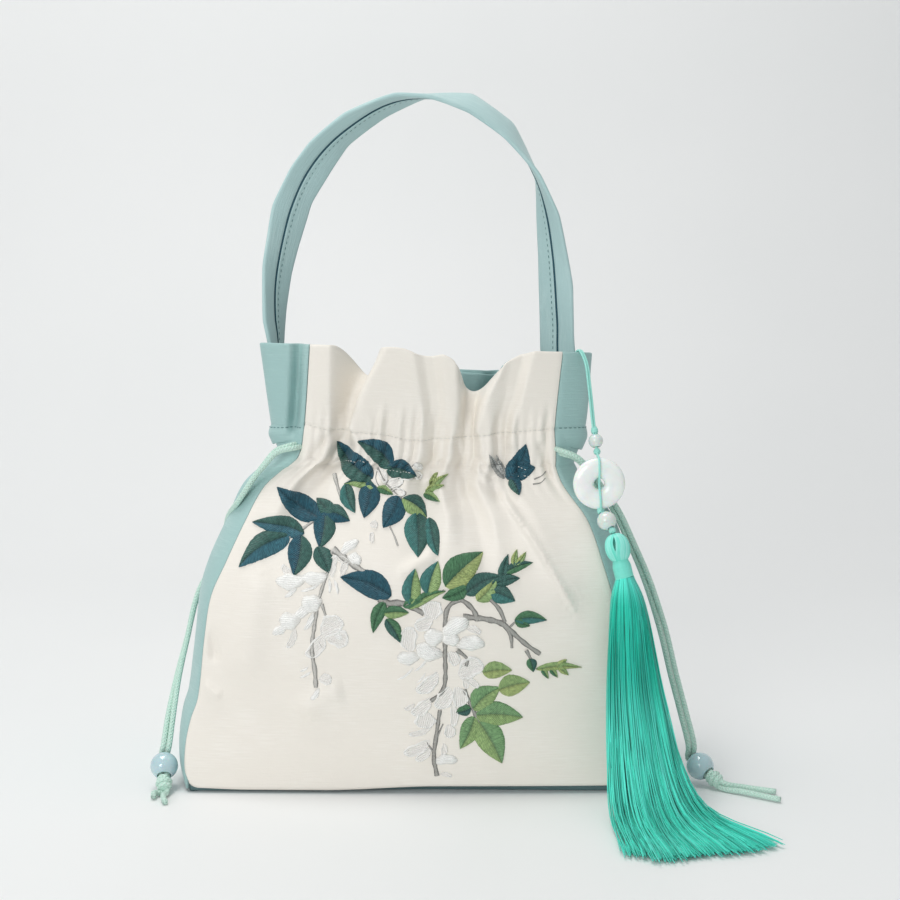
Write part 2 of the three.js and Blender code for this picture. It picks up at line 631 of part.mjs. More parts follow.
for (const [name, hand] of [['charm_cord_front', -1], ['charm_cord_back', 1]]) {
  const line = CHARM.map(({ x, y, z, dx, dy }) => ({ x: x + hand * dx, y: y + hand * dy, z }));
  add(charm, name, cord(line, CHARM_CORD, CHARM_STEPS), AQUA);
}
for (const { name, x, y, z, radius, toX, toY, toZ } of CHARM_BEADS) {
  const axis = new THREE.Vector3(toX, toY, toZ);
  stand(add(charm, name, bead(radius, CHARM_HOLE, 12), CERAMIC), { x, y, z }, axis);
}
stand(add(charm, 'jade_ring', stoneRing(), PALE_STONE), RING, new THREE.Vector3(0, -1, 0));
add(charm, 'tassel', tassel(), SILK);

export default part;
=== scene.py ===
# Drawstring bucket bag with a tassel charm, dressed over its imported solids.
# Sizes are millimetres until a mesh is made. +Z is up and the embroidered front faces -Y.
import math
from collections import namedtuple

import bpy
import numpy as np
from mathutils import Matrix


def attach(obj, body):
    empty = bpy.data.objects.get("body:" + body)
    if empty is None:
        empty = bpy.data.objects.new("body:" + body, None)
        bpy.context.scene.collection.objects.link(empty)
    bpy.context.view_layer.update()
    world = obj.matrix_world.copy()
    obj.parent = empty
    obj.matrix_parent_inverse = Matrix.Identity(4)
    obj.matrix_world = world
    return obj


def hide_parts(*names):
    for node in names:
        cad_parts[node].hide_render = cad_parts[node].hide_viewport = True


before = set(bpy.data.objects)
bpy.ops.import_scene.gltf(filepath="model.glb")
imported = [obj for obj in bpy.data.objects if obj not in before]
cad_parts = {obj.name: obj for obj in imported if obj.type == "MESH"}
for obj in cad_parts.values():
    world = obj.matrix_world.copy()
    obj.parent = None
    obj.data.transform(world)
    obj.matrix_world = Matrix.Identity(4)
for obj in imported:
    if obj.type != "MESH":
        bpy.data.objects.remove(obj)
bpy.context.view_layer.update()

MM = 0.001
random = np.random.default_rng(11)


def linear(red, green, blue):
    """A colour given as 0 to 255 screen values, as linear light."""
    values = []
    for part in (red, green, blue):
        share = part / 255
        values.append(share / 12.92 if share < 0.04045 else ((share + 0.055) / 1.055) ** 2.4)
    return (*values, 1.0)


# Camera at the photograph's viewing angle

CAMERA_PLACE = (0.017, -0.770, 0.240)
CAMERA_PITCH = 5.55
CAMERA_LENS = 60.0

camera_data = bpy.data.cameras.new("camera")
camera_data.lens = CAMERA_LENS
camera_data.sensor_width = 36.0
camera_data.clip_start = 0.01
camera = bpy.data.objects.new("camera", camera_data)
camera.location = CAMERA_PLACE
camera.rotation_euler = (math.radians(90 - CAMERA_PITCH), 0, 0)
bpy.context.scene.collection.objects.link(camera)
bpy.context.scene.camera = camera


# Small mathematics


def clamp01(t):
    return np.clip(t, 0, 1)


def ease(t):
    t = clamp01(t)
    return t * t * (3 - 2 * t)


def mix(a, b, t):
    return a + (b - a) * t


def bump(t):
    return np.where(np.abs(t) < 1, 0.5 + 0.5 * np.cos(np.pi * t), 0)


def bell(t):
    return np.exp(-np.square(t))


def unit(vectors):
    return vectors / np.maximum(np.linalg.norm(vectors, axis=-1, keepdims=True), 1e-9)


def run_along(line):
    """How far along a line each of its points lies."""
    return np.concatenate([[0], np.cumsum(np.linalg.norm(np.diff(line, axis=0), axis=1))])


def read_along(at, run, values):
    """Points or directions of a line at distances from its start."""
    return np.stack([np.interp(at, run, values[:, k]) for k in range(3)], axis=1)


def coords(*parts):
    """Arrays broadcast to one shape and put together as the coordinates of points."""
    return np.stack(np.broadcast_arrays(*parts), axis=-1)


def smooth_line(points, count):
    """A centripetal curve through points, read at count even steps of its parameter."""
    points = np.array(points, float)
    ends = [2 * points[0] - points[1], *points, 2 * points[-1] - points[-2]]
    line = []
    for at in np.linspace(0, len(points) - 1, count):
        i = min(int(at), len(points) - 2)
        t = at - i
        p0, p1, p2, p3 = ends[i : i + 4]
        d0, d1, d2 = (max(np.linalg.norm(b - a) ** 0.5, 1e-4) for a, b in ((p0, p1), (p1, p2), (p2, p3)))
        start = ((p1 - p0) / d0 - (p2 - p0) / (d0 + d1) + (p2 - p1) / d1) * d1
        end = ((p2 - p1) / d1 - (p3 - p1) / (d1 + d2) + (p3 - p2) / d2) * d1
        a = 2 * (p1 - p2) + start + end
        b = 3 * (p2 - p1) - 2 * start - end
        line.append(p1 + t * (start + t * (b + t * a)))
    return np.array(line)


def even_line(points, step):
    """A curve through points with even spacing along it."""
    dense = smooth_line(points, 12 * len(points))
    run = run_along(dense)
    at = np.linspace(0, run[-1], max(int(run[-1] / step), 2) + 1)
    return read_along(at, run, dense)


def frames_along(line):
    """Two sideways directions at each point of a line, turning as little as they can."""
    tangents = unit(np.gradient(line, axis=0))
    side = np.cross(tangents[0], (0.3, 0.2, 1.0))
    sides = []
    for tangent in tangents:
        side = unit(side - tangent * np.dot(side, tangent))
        sides.append(side)
    sides = np.array(sides)
    return sides, np.cross(tangents, sides)


# Meshes

WHITE = (1, 1, 1, 1)


class Builder:
    """Collects points and faces, in millimetres, with a texture place and a tint at each point."""

    def __init__(self):
        self.points = []
        self.places = []
        self.tints = []
        self.faces = []
        self.looks = []
        self.count = 0

    def add(self, points, faces, places=(0, 0), tint=WHITE, look=0):
        points = np.asarray(points, float).reshape(-1, 3)
        self.points.append(points)
        self.places.append(np.broadcast_to(np.reshape(places, (-1, 2)), (len(points), 2)))
        self.tints.append(np.broadcast_to(np.reshape(tint, (-1, 4)), (len(points), 4)))
        self.faces.extend([[i + self.count for i in face] for face in faces])
        self.looks.extend([look] * len(faces) if np.isscalar(look) else look)
        self.count += len(points)

    def build(self, name, materials, replaced=()):
        mesh = bpy.data.meshes.new(name)
        mesh.from_pydata((np.concatenate(self.points) * MM).tolist(), [], self.faces)
        mesh.polygons.foreach_set("use_smooth", [True] * len(self.faces))
        mesh.polygons.foreach_set("material_index", self.looks)
        corners = np.zeros(len(mesh.loops), np.int32)
        mesh.loops.foreach_get("vertex_index", corners)
        layer = mesh.uv_layers.new(name="UVMap")
        layer.data.foreach_set("uv", np.concatenate(self.places)[corners].astype(np.float32).ravel())
        tint = mesh.color_attributes.new("tint", "FLOAT_COLOR", "POINT")
        tint.data.foreach_set("color", np.concatenate(self.tints).astype(np.float32).ravel())
        mesh.update()
        for material in materials:
            mesh.materials.append(material)
        piece = bpy.data.objects.new(name, mesh)
        bpy.context.scene.collection.objects.link(piece)
        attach(piece, "root")
        if replaced:
            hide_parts(*replaced)
        return piece


def grid_faces(rows, columns, wrap=False, close=False):
    """Faces of a grid; wrap joins its last column to its first, and close its last row to its first."""
    faces = []
    for j in range(rows if close else rows - 1):
        here = j * columns
        above = (j + 1) % rows * columns
        for k in range(columns if wrap else columns - 1):
            following = (k + 1) % columns
            faces.append([here + k, here + following, above + following, above + k])
    return faces


def flipped(faces):
    return [face[::-1] for face in faces]


def add_tube(builder, line, radius, sides, tint=WHITE, closed=True):
    """A tube along a line; radius is one number or one for each point."""
    line = np.asarray(line, float)
    sideways, over = frames_along(line)
    radius = np.broadcast_to(np.asarray(radius, float), (len(line),))
    angles = np.linspace(0, 2 * np.pi, sides + 1)
    ring = np.cos(angles)[None, :, None] * sideways[:, None] + np.sin(angles)[None, :, None] * over[:, None]
    points = line[:, None] + ring * radius[:, None, None]
    faces = flipped(grid_faces(len(line), sides + 1))
    if closed:
        last = (len(line) - 1) * (sides + 1)
        faces.append(list(range(sides)))
        faces.append([last + k for k in range(sides)][::-1])
    if np.ndim(tint) == 2:
        tint = np.repeat(np.asarray(tint), sides + 1, axis=0)
    builder.add(points, faces, coords(angles * radius.max(), run_along(line)[:, None]), tint)


def add_turned(builder, profile, place, axis, sides=48, tint=WHITE):
    """A solid of revolution: profile rows are radius and height along the axis."""
    axis = unit(np.array(axis, float))
    sideways = unit(np.cross(axis, (0.31, 0.2, 0.93)))
    over = np.cross(axis, sideways)
    angles = np.linspace(0, 2 * np.pi, sides + 1)[:-1]
    spokes = np.cos(angles)[:, None] * sideways + np.sin(angles)[:, None] * over
    profile = np.array(profile, float)
    points = np.array(place) + profile[:, None, :1] * spokes[None] + profile[:, None, 1:] * axis
    builder.add(points, grid_faces(len(profile), sides, wrap=True), tint=tint)


# Materials

# Turns a wave texture's scale into the distance from one wave to the next
WAVE_SCALE = 0.314
# Scales of the cloth's pattern across and along it
SLUBS = (0.09, 1.4)
CLOTH_CLOUD = (0.03, 0.03)
WEFT = (0.3, 2.4)
WARP = (2.4, 0.3)
SLUB_RELIEF = 2.5
# Tints come from the mesh, so this colour shows nowhere
UNTINTED = (0.5, 0.5, 0.5, 1)
THREAD_GLEAM = (0.025, 0.045, 0.05, 1)
SILK_GLEAM = (0.04, 0.32, 0.27, 1)
BRAID_SLANT = 52
STONE_CLOUD = 170.0
STONE_GRAIN = 900.0
GRAIN_DEPTH = 0.03


class Look:
    """A principled material and its node tree, with short names for the nodes that it uses."""

    def __init__(self, name, color, roughness, **values):
        self.material = bpy.data.materials.new(name)
        self.material.use_nodes = True
        self.tree = self.material.node_tree
        self.shader = self.tree.nodes["Principled BSDF"]
        self.shader.inputs["Base Color"].default_value = color
        self.shader.inputs["Roughness"].default_value = roughness
        for key, value in values.items():
            self.shader.inputs[key.replace("_", " ").title().replace("Ior", "IOR")].default_value = value

    def feed(self, socket, value):
        """Links an output to a socket, or sets the socket to a plain value."""
        if isinstance(value, bpy.types.NodeSocket):
            self.tree.links.new(value, socket)
        else:
            socket.default_value = value

    def node(self, kind, output, inputs, **settings):
        """One output of a new node, with the node's inputs linked or set."""
        node = self.tree.nodes.new(kind)
        for key, value in settings.items():
            setattr(node, key, value)
        for key, value in inputs.items():
            self.feed(node.inputs[key], value)
        return node.outputs[output]

    def place(self, across, along, turn=0.0):
        """Texture places, in millimetres times the two scales."""
        source = self.node("ShaderNodeUVMap", "UV", {}, uv_map="UVMap")
        rotation = (0, 0, math.radians(turn))
        return self.node("ShaderNodeMapping", "Vector",
                         {"Vector": source, "Scale": (across, along, 1), "Rotation": rotation})

    def in_space(self):
        return self.node("ShaderNodeTexCoord", "Object", {})

    def tint(self):
        return self.node("ShaderNodeVertexColor", "Color", {}, layer_name="tint")

    def noise(self, vector, scale=1.0, detail=2.0):
        return self.node("ShaderNodeTexNoise", "Fac", {"Vector": vector, "Scale": scale, "Detail": detail})

    def waves(self, vector, pitch, distortion):
        inputs = {"Vector": vector, "Scale": WAVE_SCALE / pitch, "Distortion": distortion, "Detail": 1.0,
                  "Detail Scale": 1.5}
        return self.node("ShaderNodeTexWave", "Fac", inputs, wave_type="BANDS", bands_direction="X")

    def ranged(self, value, low, high):
        return self.node("ShaderNodeMapRange", "Result", {"Value": value, "To Min": low, "To Max": high})

    def combine(self, first, second, operation="ADD"):
        return self.node("ShaderNodeMath", "Value", {0: first, 1: second}, operation=operation)

    def blend(self, first, second, share, mode="MIX"):
        """A colour made of two; each may be plain or an output."""
        inputs = {0: share, 6: first, 7: second}
        return self.node("ShaderNodeMix", 2, inputs, data_type="RGBA", blend_type=mode)

    def color(self, value):
        self.feed(self.shader.inputs["Base Color"], value)

    def rough(self, value):
        self.feed(self.shader.inputs["Roughness"], value)

    def raise_by(self, height, depth):
        normal = self.node("ShaderNodeBump", "Normal", {"Height": height, "Distance": depth * MM})
        self.feed(self.shader.inputs["Normal"], normal)


def cloth(name, color, shade, roughness, weave_depth, sheen):
    """Plain-woven cloth with long soft slubs across it."""
    look = Look(name, color, roughness, sheen_weight=sheen, sheen_roughness=0.4, specular_ior_level=0.35)
    slubs = look.noise(look.place(*SLUBS), detail=3.0)
    cloud = look.noise(look.place(*CLOTH_CLOUD))
    share = look.ranged(look.combine(slubs, cloud), -0.55, 1.0)
    look.color(look.blend(color, shade, share))
    weft = look.noise(look.place(*WEFT), detail=1.0)
    warp = look.noise(look.place(*WARP), detail=1.0)
    weave = look.combine(look.combine(weft, warp), look.ranged(slubs, 0.0, SLUB_RELIEF))
    look.raise_by(weave, weave_depth)
    look.rough(look.ranged(slubs, roughness - 0.06, roughness + 0.1))
    return look.material


def thread(name, pitch, depth, roughness, shade):
    """Satin stitch in the tint of each point, darkened between threads as painted shade and lit in painted
    gleams, varied at random in streaks and specks; the threads lie across the first texture direction.
    """
    look = Look(name, UNTINTED, roughness, sheen_weight=0.15, sheen_roughness=0.35, specular_ior_level=0.35)
    tint = look.tint()
    strands = look.waves(look.place(1, 1), pitch, 1.4)
    streaks = look.noise(look.place(1.6 / pitch, 0.12))
    specks = look.noise(look.place(2.2 / pitch, 0.9), detail=3.0)
    dark = look.blend(tint, shade, 1.0, "MULTIPLY")
    light = look.blend(tint, THREAD_GLEAM, 1.0, "ADD")
    share = look.combine(look.ranged(strands, 0.0, 0.4), look.ranged(streaks, -0.1, 0.5))
    share = look.combine(share, look.ranged(specks, -0.9, 1.1))
    look.color(look.blend(dark, light, share))
    look.raise_by(look.combine(look.combine(strands, streaks), specks), depth)
    return look.material


def silk(name, roughness, spread):
    """Fine shining silk in the tint of each point, with light and dark strands from a painted gleam screened
    over it in streaks.
    """
    look = Look(name, UNTINTED, roughness, sheen_weight=0.06, sheen_roughness=0.3, specular_ior_level=0.35)
    streaks = look.noise(look.place(0.8, 0.05))
    look.color(look.blend(look.tint(), SILK_GLEAM, look.ranged(streaks, -0.2, 0.9), "SCREEN"))
    look.rough(look.ranged(streaks, roughness - spread, roughness + spread))
    return look.material


def braid(name, color, shade, pitch, depth, roughness):
    """Satin cord braided in fine slanting ribs, with painted shade between the ribs."""
    look = Look(name, color, roughness, sheen_weight=0.2, sheen_roughness=0.35, specular_ior_level=0.45)
    right, left = (look.waves(look.place(1, 1, slant), pitch, 0.5) for slant in (BRAID_SLANT, -BRAID_SLANT))
    ribs = look.combine(right, left, "MULTIPLY")
    cloud = look.noise(look.place(0.15, 0.15))
    share = look.combine(look.ranged(ribs, 0.75, 0.0), look.ranged(cloud, -0.2, 0.3))
    look.color(look.blend(color, shade, share))
    look.raise_by(ribs, depth)
    return look.material


def polished(name, color, shade, roughness, scatter, coat):
    """Glazed or polished stone with soft clouds in it."""
    look = Look(name, color, roughness, subsurface_weight=scatter, subsurface_scale=0.004, coat_weight=coat,
                coat_roughness=0.05, specular_ior_level=0.5)
    cloud = look.noise(look.in_space(), STONE_CLOUD, 4.0)
    look.color(look.blend(color, shade, look.ranged(cloud, -0.3, 1.2)))
    look.raise_by(look.noise(look.in_space(), STONE_GRAIN), GRAIN_DEPTH)
    return look.material


IVORY = linear(245, 241, 234)
IVORY_SHADE = linear(238, 233, 224)
TEAL = linear(178, 208, 205)
TEAL_SHADE = linear(160, 194, 192)
STRAP_TEAL = linear(197, 222, 221)
STRAP_SHADE = linear(176, 206, 206)
LINING_TEAL = linear(128, 164, 161)
# The base's cloth colours are painted darker than the sides' teal: painted shade for the gap under the
# front's hem.
BASE_TEAL_IN_PAINTED_SHADE = linear(108, 134, 135)
BASE_SHADE = linear(94, 120, 122)
SEAM_DARK = linear(44, 82, 94)
MINT = linear(222, 243, 234)
MINT_SHADE = linear(188, 228, 211)
AQUA = linear(190, 246, 236)
AQUA_SHADE = linear(146, 230, 216)
WHITE_JADE = linear(247, 250, 248)
JADE_SHADE = linear(230, 239, 235)
PALE_JADE = linear(224, 233, 229)
PALE_JADE_SHADE = linear(202, 216, 210)
BLUE_GLAZE = linear(190, 216, 221)
GLAZE_SHADE = linear(171, 199, 207)

satin = cloth("ivory_satin", IVORY, IVORY_SHADE, 0.36, 0.06, 0.1)
teal_cloth = cloth("teal_cloth", TEAL, TEAL_SHADE, 0.55, 0.08, 0.2)
strap_cloth = cloth("strap_cloth", STRAP_TEAL, STRAP_SHADE, 0.55, 0.08, 0.2)
lining_cloth = cloth("lining_cloth", LINING_TEAL, TEAL_SHADE, 0.6, 0.08, 0.1)
base_cloth_in_painted_shade = cloth("base_cloth_in_painted_shade", BASE_TEAL_IN_PAINTED_SHADE, BASE_SHADE, 0.6, 0.08, 0.1)
seam_dark = cloth("seam_dark", SEAM_DARK, SEAM_DARK, 0.7, 0.05, 0.0)
mint_cord = braid("mint_cord", MINT, MINT_SHADE, 1.3, 0.45, 0.36)
aqua_cord = braid("aqua_cord", AQUA, AQUA_SHADE, 0.6, 0.15, 0.4)
white_jade = polished("white_jade", WHITE_JADE, JADE_SHADE, 0.18, 0.35, 0.4)
pale_jade = polished("pale_jade", PALE_JADE, PALE_JADE_SHADE, 0.16, 0.35, 0.4)
blue_glaze = polished("blue_glaze", BLUE_GLAZE, GLAZE_SHADE, 0.12, 0.1, 0.6)
stitch_thread = thread("stitch_thread", 0.5, 0.08, 0.5, (0.7, 0.72, 0.72, 1))
silk_thread = thread("silk_thread", 1.0, 0.22, 0.42, (0.36, 0.42, 0.46, 1))
stem_thread = thread("stem_thread", 0.8, 0.18, 0.5, (0.66, 0.65, 0.64, 1))
white_thread = thread("white_thread", 1.0, 0.25, 0.5, (0.95, 0.95, 0.94, 1))
fringe_silk = silk("fringe_silk", 0.36, 0.08)


# Drawstring and charm cords

CORD = 2.8
CORD_APART = CORD / 2 + 0.03
# Columns: x, y, z, lay, where lay turns the pair from side by side towards one behind the other
LEFT_CORD = np.array([
    (-61.5, -28, 169.5, 60), (-69, -28.5, 167.3, 70), (-75.5, -29, 160.3, 80), (-80.5, -29.5, 154, 90),
    (-87.5, -28, 143.5, 90), (-94.5, -16, 134.5, 90), (-98.5, -5, 124, 90), (-103.5, -3, 110, 90),
    (-113.5, -3, 91, 90), (-118.5, -9, 69, 80), (-122, -18, 51, 60), (-124, -30, 33, 20),
    (-125, -37.5, 20, 0),
])
RIGHT_CORD = np.array([
    (73, -27.5, 166.6, 60), (79, -28, 164.5, 70), (85, -26, 159, 70), (93, -24, 147.5, 50),
    (101, -21, 136, 40), (109, -18, 119.5, 40), (117, -17, 101, 30), (125, -20, 76, 0),
    (130, -25, 54, 0), (134.5, -29, 36, 0), (138.5, -33, 18.5, 0),
])
# Where each pair comes out of the channel, under the flap
LEFT_ROOT = (-56, -15, 169.5)
RIGHT_ROOT = (68, -14, 167.5)
LEFT_BEAD = np.array((-125.2, -42.5, 11.5))
LEFT_AXIS = unit(np.array((0.12, -0.72, -0.6)))
RIGHT_BEAD = np.array((142.5, -36.5, 9.5))
RIGHT_AXIS = unit(np.array((0.55, -0.62, -0.4)))
BEAD_RADIUS = 6.8
BEAD_HOLE = 3.5
KNOT_LENGTH = 8.4
KNOT_RADIUS = 4.2
KNOT_TURNS = 2.4
# A knot's core. Columns: share of its radius, share of its length
KNOT_CORE = [(0, -0.5), (0.5, -0.46), (0.72, 0), (0.5, 0.46), (0, 0.5)]
KNOT_IN_BEAD = 0.9
# How far over and under the knot the two cords still lie side by side
KNOT_OVER = 0.6
KNOT_UNDER = 0.9
CORD_STEP = 1.6
LEFT_TAILS = [[(-127.5, -57, 2.6), (-127, -61, 1.8)], [(-122.5, -60, 2.2), (-120, -68.5, 1.8)]]
RIGHT_TAILS = [[(161, -54, 2), (176.5, -65, 1.8)], [(163, -47, 2), (177, -53, 1.8)]]


def beside_run(points, i, lay):
    run = points[min(i + 1, len(points) - 1)] - points[max(i - 1, 0)]
    beside = unit(np.array((run[2], 0, -run[0])))
    behind = np.cross(unit(run), beside)
    return beside * math.cos(math.radians(lay)) + behind * math.sin(math.radians(lay))


def bead_profile(radius, hole):
    flat = math.acos(hole / radius)
    angles = np.linspace(-flat, flat, 30)
    outside = [(radius * math.cos(a), radius * math.sin(a)) for a in angles]
    lip = [(hole * 0.97, math.sqrt(radius**2 - hole**2) * s) for s in (0.98, 0, -0.98)]
    return [*outside, *lip, outside[0]]


def wound_knot(builder, place, axis, radius, length, strand, turns):
    """A knot as a strand wound about a core."""
    sideways = unit(np.cross(axis, (0.2, 0.9, 0.3)))
    over = np.cross(axis, sideways)
    t = np.linspace(0, 1, 60)
    swell = np.sin(np.pi * mix(0.16, 0.84, t)) ** 0.6
    angle = 2 * np.pi * turns * t
    reach = (radius - strand / 2) * swell
    line = (np.array(place) + ((t - 0.5) * (length - strand))[:, None] * axis
            + (reach * np.cos(angle))[:, None] * sideways + (reach * np.sin(angle))[:, None] * over)
    add_tube(builder, line, strand / 2, 10)
    add_turned(builder, np.array(KNOT_CORE) * (radius, length), place, axis, 20)


def drawstring_end(side, root, route, bead_place, axis, tails):
    bead = Builder()
    add_turned(bead, bead_profile(BEAD_RADIUS, BEAD_HOLE), bead_place, axis)
    bead_piece = bead.build(f"{side}_glazed_bead", [blue_glaze], [f"{side}_bead"])
    knot_place = bead_place + axis * (BEAD_RADIUS + KNOT_LENGTH / 2 - KNOT_IN_BEAD)
    knot = Builder()
    wound_knot(knot, knot_place, axis, KNOT_RADIUS, KNOT_LENGTH, CORD, KNOT_TURNS)
    knot_piece = knot.build(f"{side}_wound_knot", [mint_cord], [f"{side}_knot"])
    knot_top = knot_place - axis * (KNOT_LENGTH / 2 + KNOT_OVER)
    knot_foot = knot_place + axis * (KNOT_LENGTH / 2 + KNOT_UNDER)
    points = [np.array(root), *route[:, :3], bead_place - axis * BEAD_RADIUS, bead_place, knot_top]
    lays = [route[0, 3], *route[:, 3], 0, 0, 0]
    for letter, hand, tail in (("a", CORD_APART, tails[0]), ("b", -CORD_APART, tails[1])):
        line = [point + hand * beside_run(points, i, lays[i]) for i, point in enumerate(points)]
        foot = knot_foot + hand * beside_run(points, len(points) - 1, 0)
        path = even_line([*line, foot, *tail], CORD_STEP)
        tube = Builder()
        add_tube(tube, path, CORD / 2, 12)
        cord = tube.build(f"{side}_drawstring_{letter}", [mint_cord],
                          [f"{side}_cord_{letter}", f"{side}_tail_{letter}"])


drawstring_end("left", LEFT_ROOT, LEFT_CORD, LEFT_BEAD, LEFT_AXIS, LEFT_TAILS)
drawstring_end("right", RIGHT_ROOT, RIGHT_CORD, RIGHT_BEAD, RIGHT_AXIS, RIGHT_TAILS)

CHARM_CORD = 1.1
# Columns: x, y, z, dx, dy, where dx and dy set the two strands apart
CHARM = np.array([
    (77.6, -15.6, 203, 0.52, 0.39), (78.8, -18, 212, 0.52, 0.39), (81.4, -22, 217.2, 0.52, 0.39),
    (84.2, -26, 212, 0.52, 0.39), (86, -29, 199, 0.52, 0.39), (88, -31, 180, 0.52, 0.39),
    (89, -32.2, 172.8, 0.3, 0.7), (89.4, -34.6, 167.2, 0, 0.8), (89.9, -37.4, 164.8, 0, 2.9),
    (90.1, -37.5, 160.3, 0, 4), (90.2, -37.5, 156.5, 0, 3.4), (90.3, -37.5, 152.3, 0, 0.9),
    (90.5, -37.5, 148.1, 0, 3.4), (90.8, -37.5, 144.3, 0, 4), (91, -37.5, 140.6, 0, 3.5),
    (91.9, -39.5, 138, 0.4, 0.7), (93.7, -42, 134.4, 0.55, 0.5), (97.2, -45.4, 129.4, 0.5, 0.4),
])
RING_PLACE = np.array((90.3, -37.5, 152.3))
RING_RADIUS = 12.8
RING_HOLE = 2.6
RING_THICK = 6.0
UPPER_BEAD = np.array((89, -32.2, 172.8))
UPPER_AXIS = unit(np.array((0.1, -0.3, -1)))
LOWER_BEAD = np.array((93.7, -42, 134.4))
LOWER_AXIS = unit(np.array((0.5, -0.55, -0.85)))
UPPER_RADIUS = 3.6
LOWER_RADIUS = 4.7
CHARM_HOLE = 1.8
CHARM_KNOT_TURNS = 3.2
CHARM_STEP = 0.8
RING_SQUARE = 0.8


def squared(value):
    """A sine or cosine whose circle is drawn a little towards a square."""
    return math.copysign(abs(value) ** RING_SQUARE, value)


ring = Builder()
ring_middle = (RING_RADIUS + RING_HOLE) / 2
ring_half = (RING_RADIUS - RING_HOLE) / 2
ring_profile = [
    (ring_middle + ring_half * squared(math.cos(a)), RING_THICK / 2 * squared(math.sin(a)))
    for a in np.linspace(0, 2 * np.pi, 40)
]
add_turned(ring, ring_profile, RING_PLACE, (0, -1, 0), 72)
ring_piece = ring.build("white_ring", [white_jade], ["jade_ring"])

for name, node, place, axis, radius in (
    ("upper_charm_bead", "charm_bead_upper", UPPER_BEAD, UPPER_AXIS, UPPER_RADIUS),
    ("lower_charm_bead", "charm_bead_lower", LOWER_BEAD, LOWER_AXIS, LOWER_RADIUS),
):
    bead = Builder()
    add_turned(bead, bead_profile(radius, CHARM_HOLE), place, axis, 36)
    bead.build(name, [pale_jade], [node])

charm_knots = Builder()
# Columns: place, axis, radius, length
for place, axis, radius, length in (
    (UPPER_BEAD - UPPER_AXIS * 5.2, UPPER_AXIS, 1.9, 4.2),
    (UPPER_BEAD + UPPER_AXIS * 5.4, UPPER_AXIS, 1.8, 3.4),
    (LOWER_BEAD - LOWER_AXIS * 5.9, LOWER_AXIS, 1.9, 3.4),
    (LOWER_BEAD + LOWER_AXIS * 5.9, LOWER_AXIS, 1.9, 3.0),
):
    wound_knot(charm_knots, place, axis, radius, length, CHARM_CORD, CHARM_KNOT_TURNS)
charm_knot_piece = charm_knots.build("charm_knots", [aqua_cord])

for place, hand in (("front", -1), ("back", 1)):
    route = CHARM[:, :3].copy()
    route[:, :2] += hand * CHARM[:, 3:]
    path = even_line(route, CHARM_STEP)
    tube = Builder()
    add_tube(tube, path, CHARM_CORD / 2, 10)
    strand = tube.build(f"charm_strand_{place}", [aqua_cord], [f"charm_cord_{place}"])
    length = float(run_along(path)[-1])


# The bag's shell

WALL = 1.5
LINING = 1.0
LINING_GAP = 0.3
SEAM_PULL = 0.2
LOWER_STITCH = 160
UPPER_STITCH = 178
RIM = 218
RIM_TILT = -0.03
BACK_FALL = 10
FALL_FADE = 10
SEAM_FALL = 2.5
EDGE_LIFT = 2.3
LIFT_HEIGHT = 14
EDGE_FADE = 6
LIFT_FROM = 0.3
LIFT_SPAN = 0.25
FOLD_SPREAD = 1.6
BOW_POWER = 2.2
GUSSET_POWER = 3
GUSSET_FOLD_HALF = 20

# Columns: z, left, right, depth, bow
SECTION = np.array([
    (0, -112.5, 111.5, 49.5, 1.5), (12, -114.5, 113, 48.3, 3), (24, -114, 112.5, 47, 5),
    (36, -111.5, 110.5, 46, 6.5), (47, -107.7, 107, 46, 8), (76, -104.3, 102.5, 45, 11),
    (97, -101, 97.5, 43, 12), (113, -94, 92.8, 41, 11), (134, -84.3, 85.3, 36, 8.5),
    (150, -75.7, 74, 30.5, 6), (158, -67, 70.5, 27.5, 4.5), (164, -59, 70, 25.5, 3.5),
    (178, -56, 69.5, 25, 4), (218, -52.5, 73, 28, 8),
])
# Columns: z, left, left fold, right, right fold
GUSSET = np.array([
    (0, 6, 0, 6, 0), (24, 7.5, 0, 8, 0), (47, 9, 0.5, 10, 0.5), (76, 8.5, 2, 11.5, 2),
    (97, 9.5, 4.5, 14, 4.5), (113, 12, 6, 15.5, 6), (134, 12.5, 6, 16, 7), (150, 14.5, 6, 14.5, 6),
    (158, 15, 4, 13, 4), (164, 13, 2, 13, 3), (178, 20.5, 3, 20.5, 6), (218, 31, 6, 19.5, 7.5),
])
# A fold's place across the panel, half width and depth, each at the neck and the rim; how far and how widely
# the rim drops at it; how far it leans; how far its walls are drawn over its valley; how far down it reaches
FOLD_COLUMNS = "neck rim half rim_half push rim_push drop drop_half tuck left_pinch right_pinch reach"
Fold = namedtuple("Fold", FOLD_COLUMNS)
FRONT_FOLDS = [
    Fold(0.165, 0.205, 9, 16, 8, 22, 15, 14, 3, 0, 9, 60),
    Fold(0.535, 0.47, 7, 8, 4, 3, 4, 16, 0, 0, 0, 55),
    Fold(0.655, 0.675, 8, 14, 8, 24, 21, 21, -3, 3, 5, 75),
    Fold(0.79, 0.82, 7, 9, 4, 4, 2, 9, 0, 0, 0, 60),
]
BACK_FOLDS = [
    Fold(0.22, 0.18, 9, 16, 7, 14, 13, 24, 0, 5, 5, 60),
    Fold(0.44, 0.42, 7, 9, 4, 5, 3, 9, 0, 0, 0, 55),
    Fold(0.64, 0.65, 9, 16, 7, 10, 0, 16, 0, 5, 5, 65),
    Fold(0.84, 0.84, 7, 9, 4, 4, 1, 9, 0, 0, 0, 50),
]
PINCH_FOOT = 168
PINCH_RISE = 12
PINCH_AT = 0.8
PINCH_HALF = 0.6
PINCH_OPEN = 0.6
PINCH_OPENS_AT = 0.3
VALLEY_FLOOR = 0.2
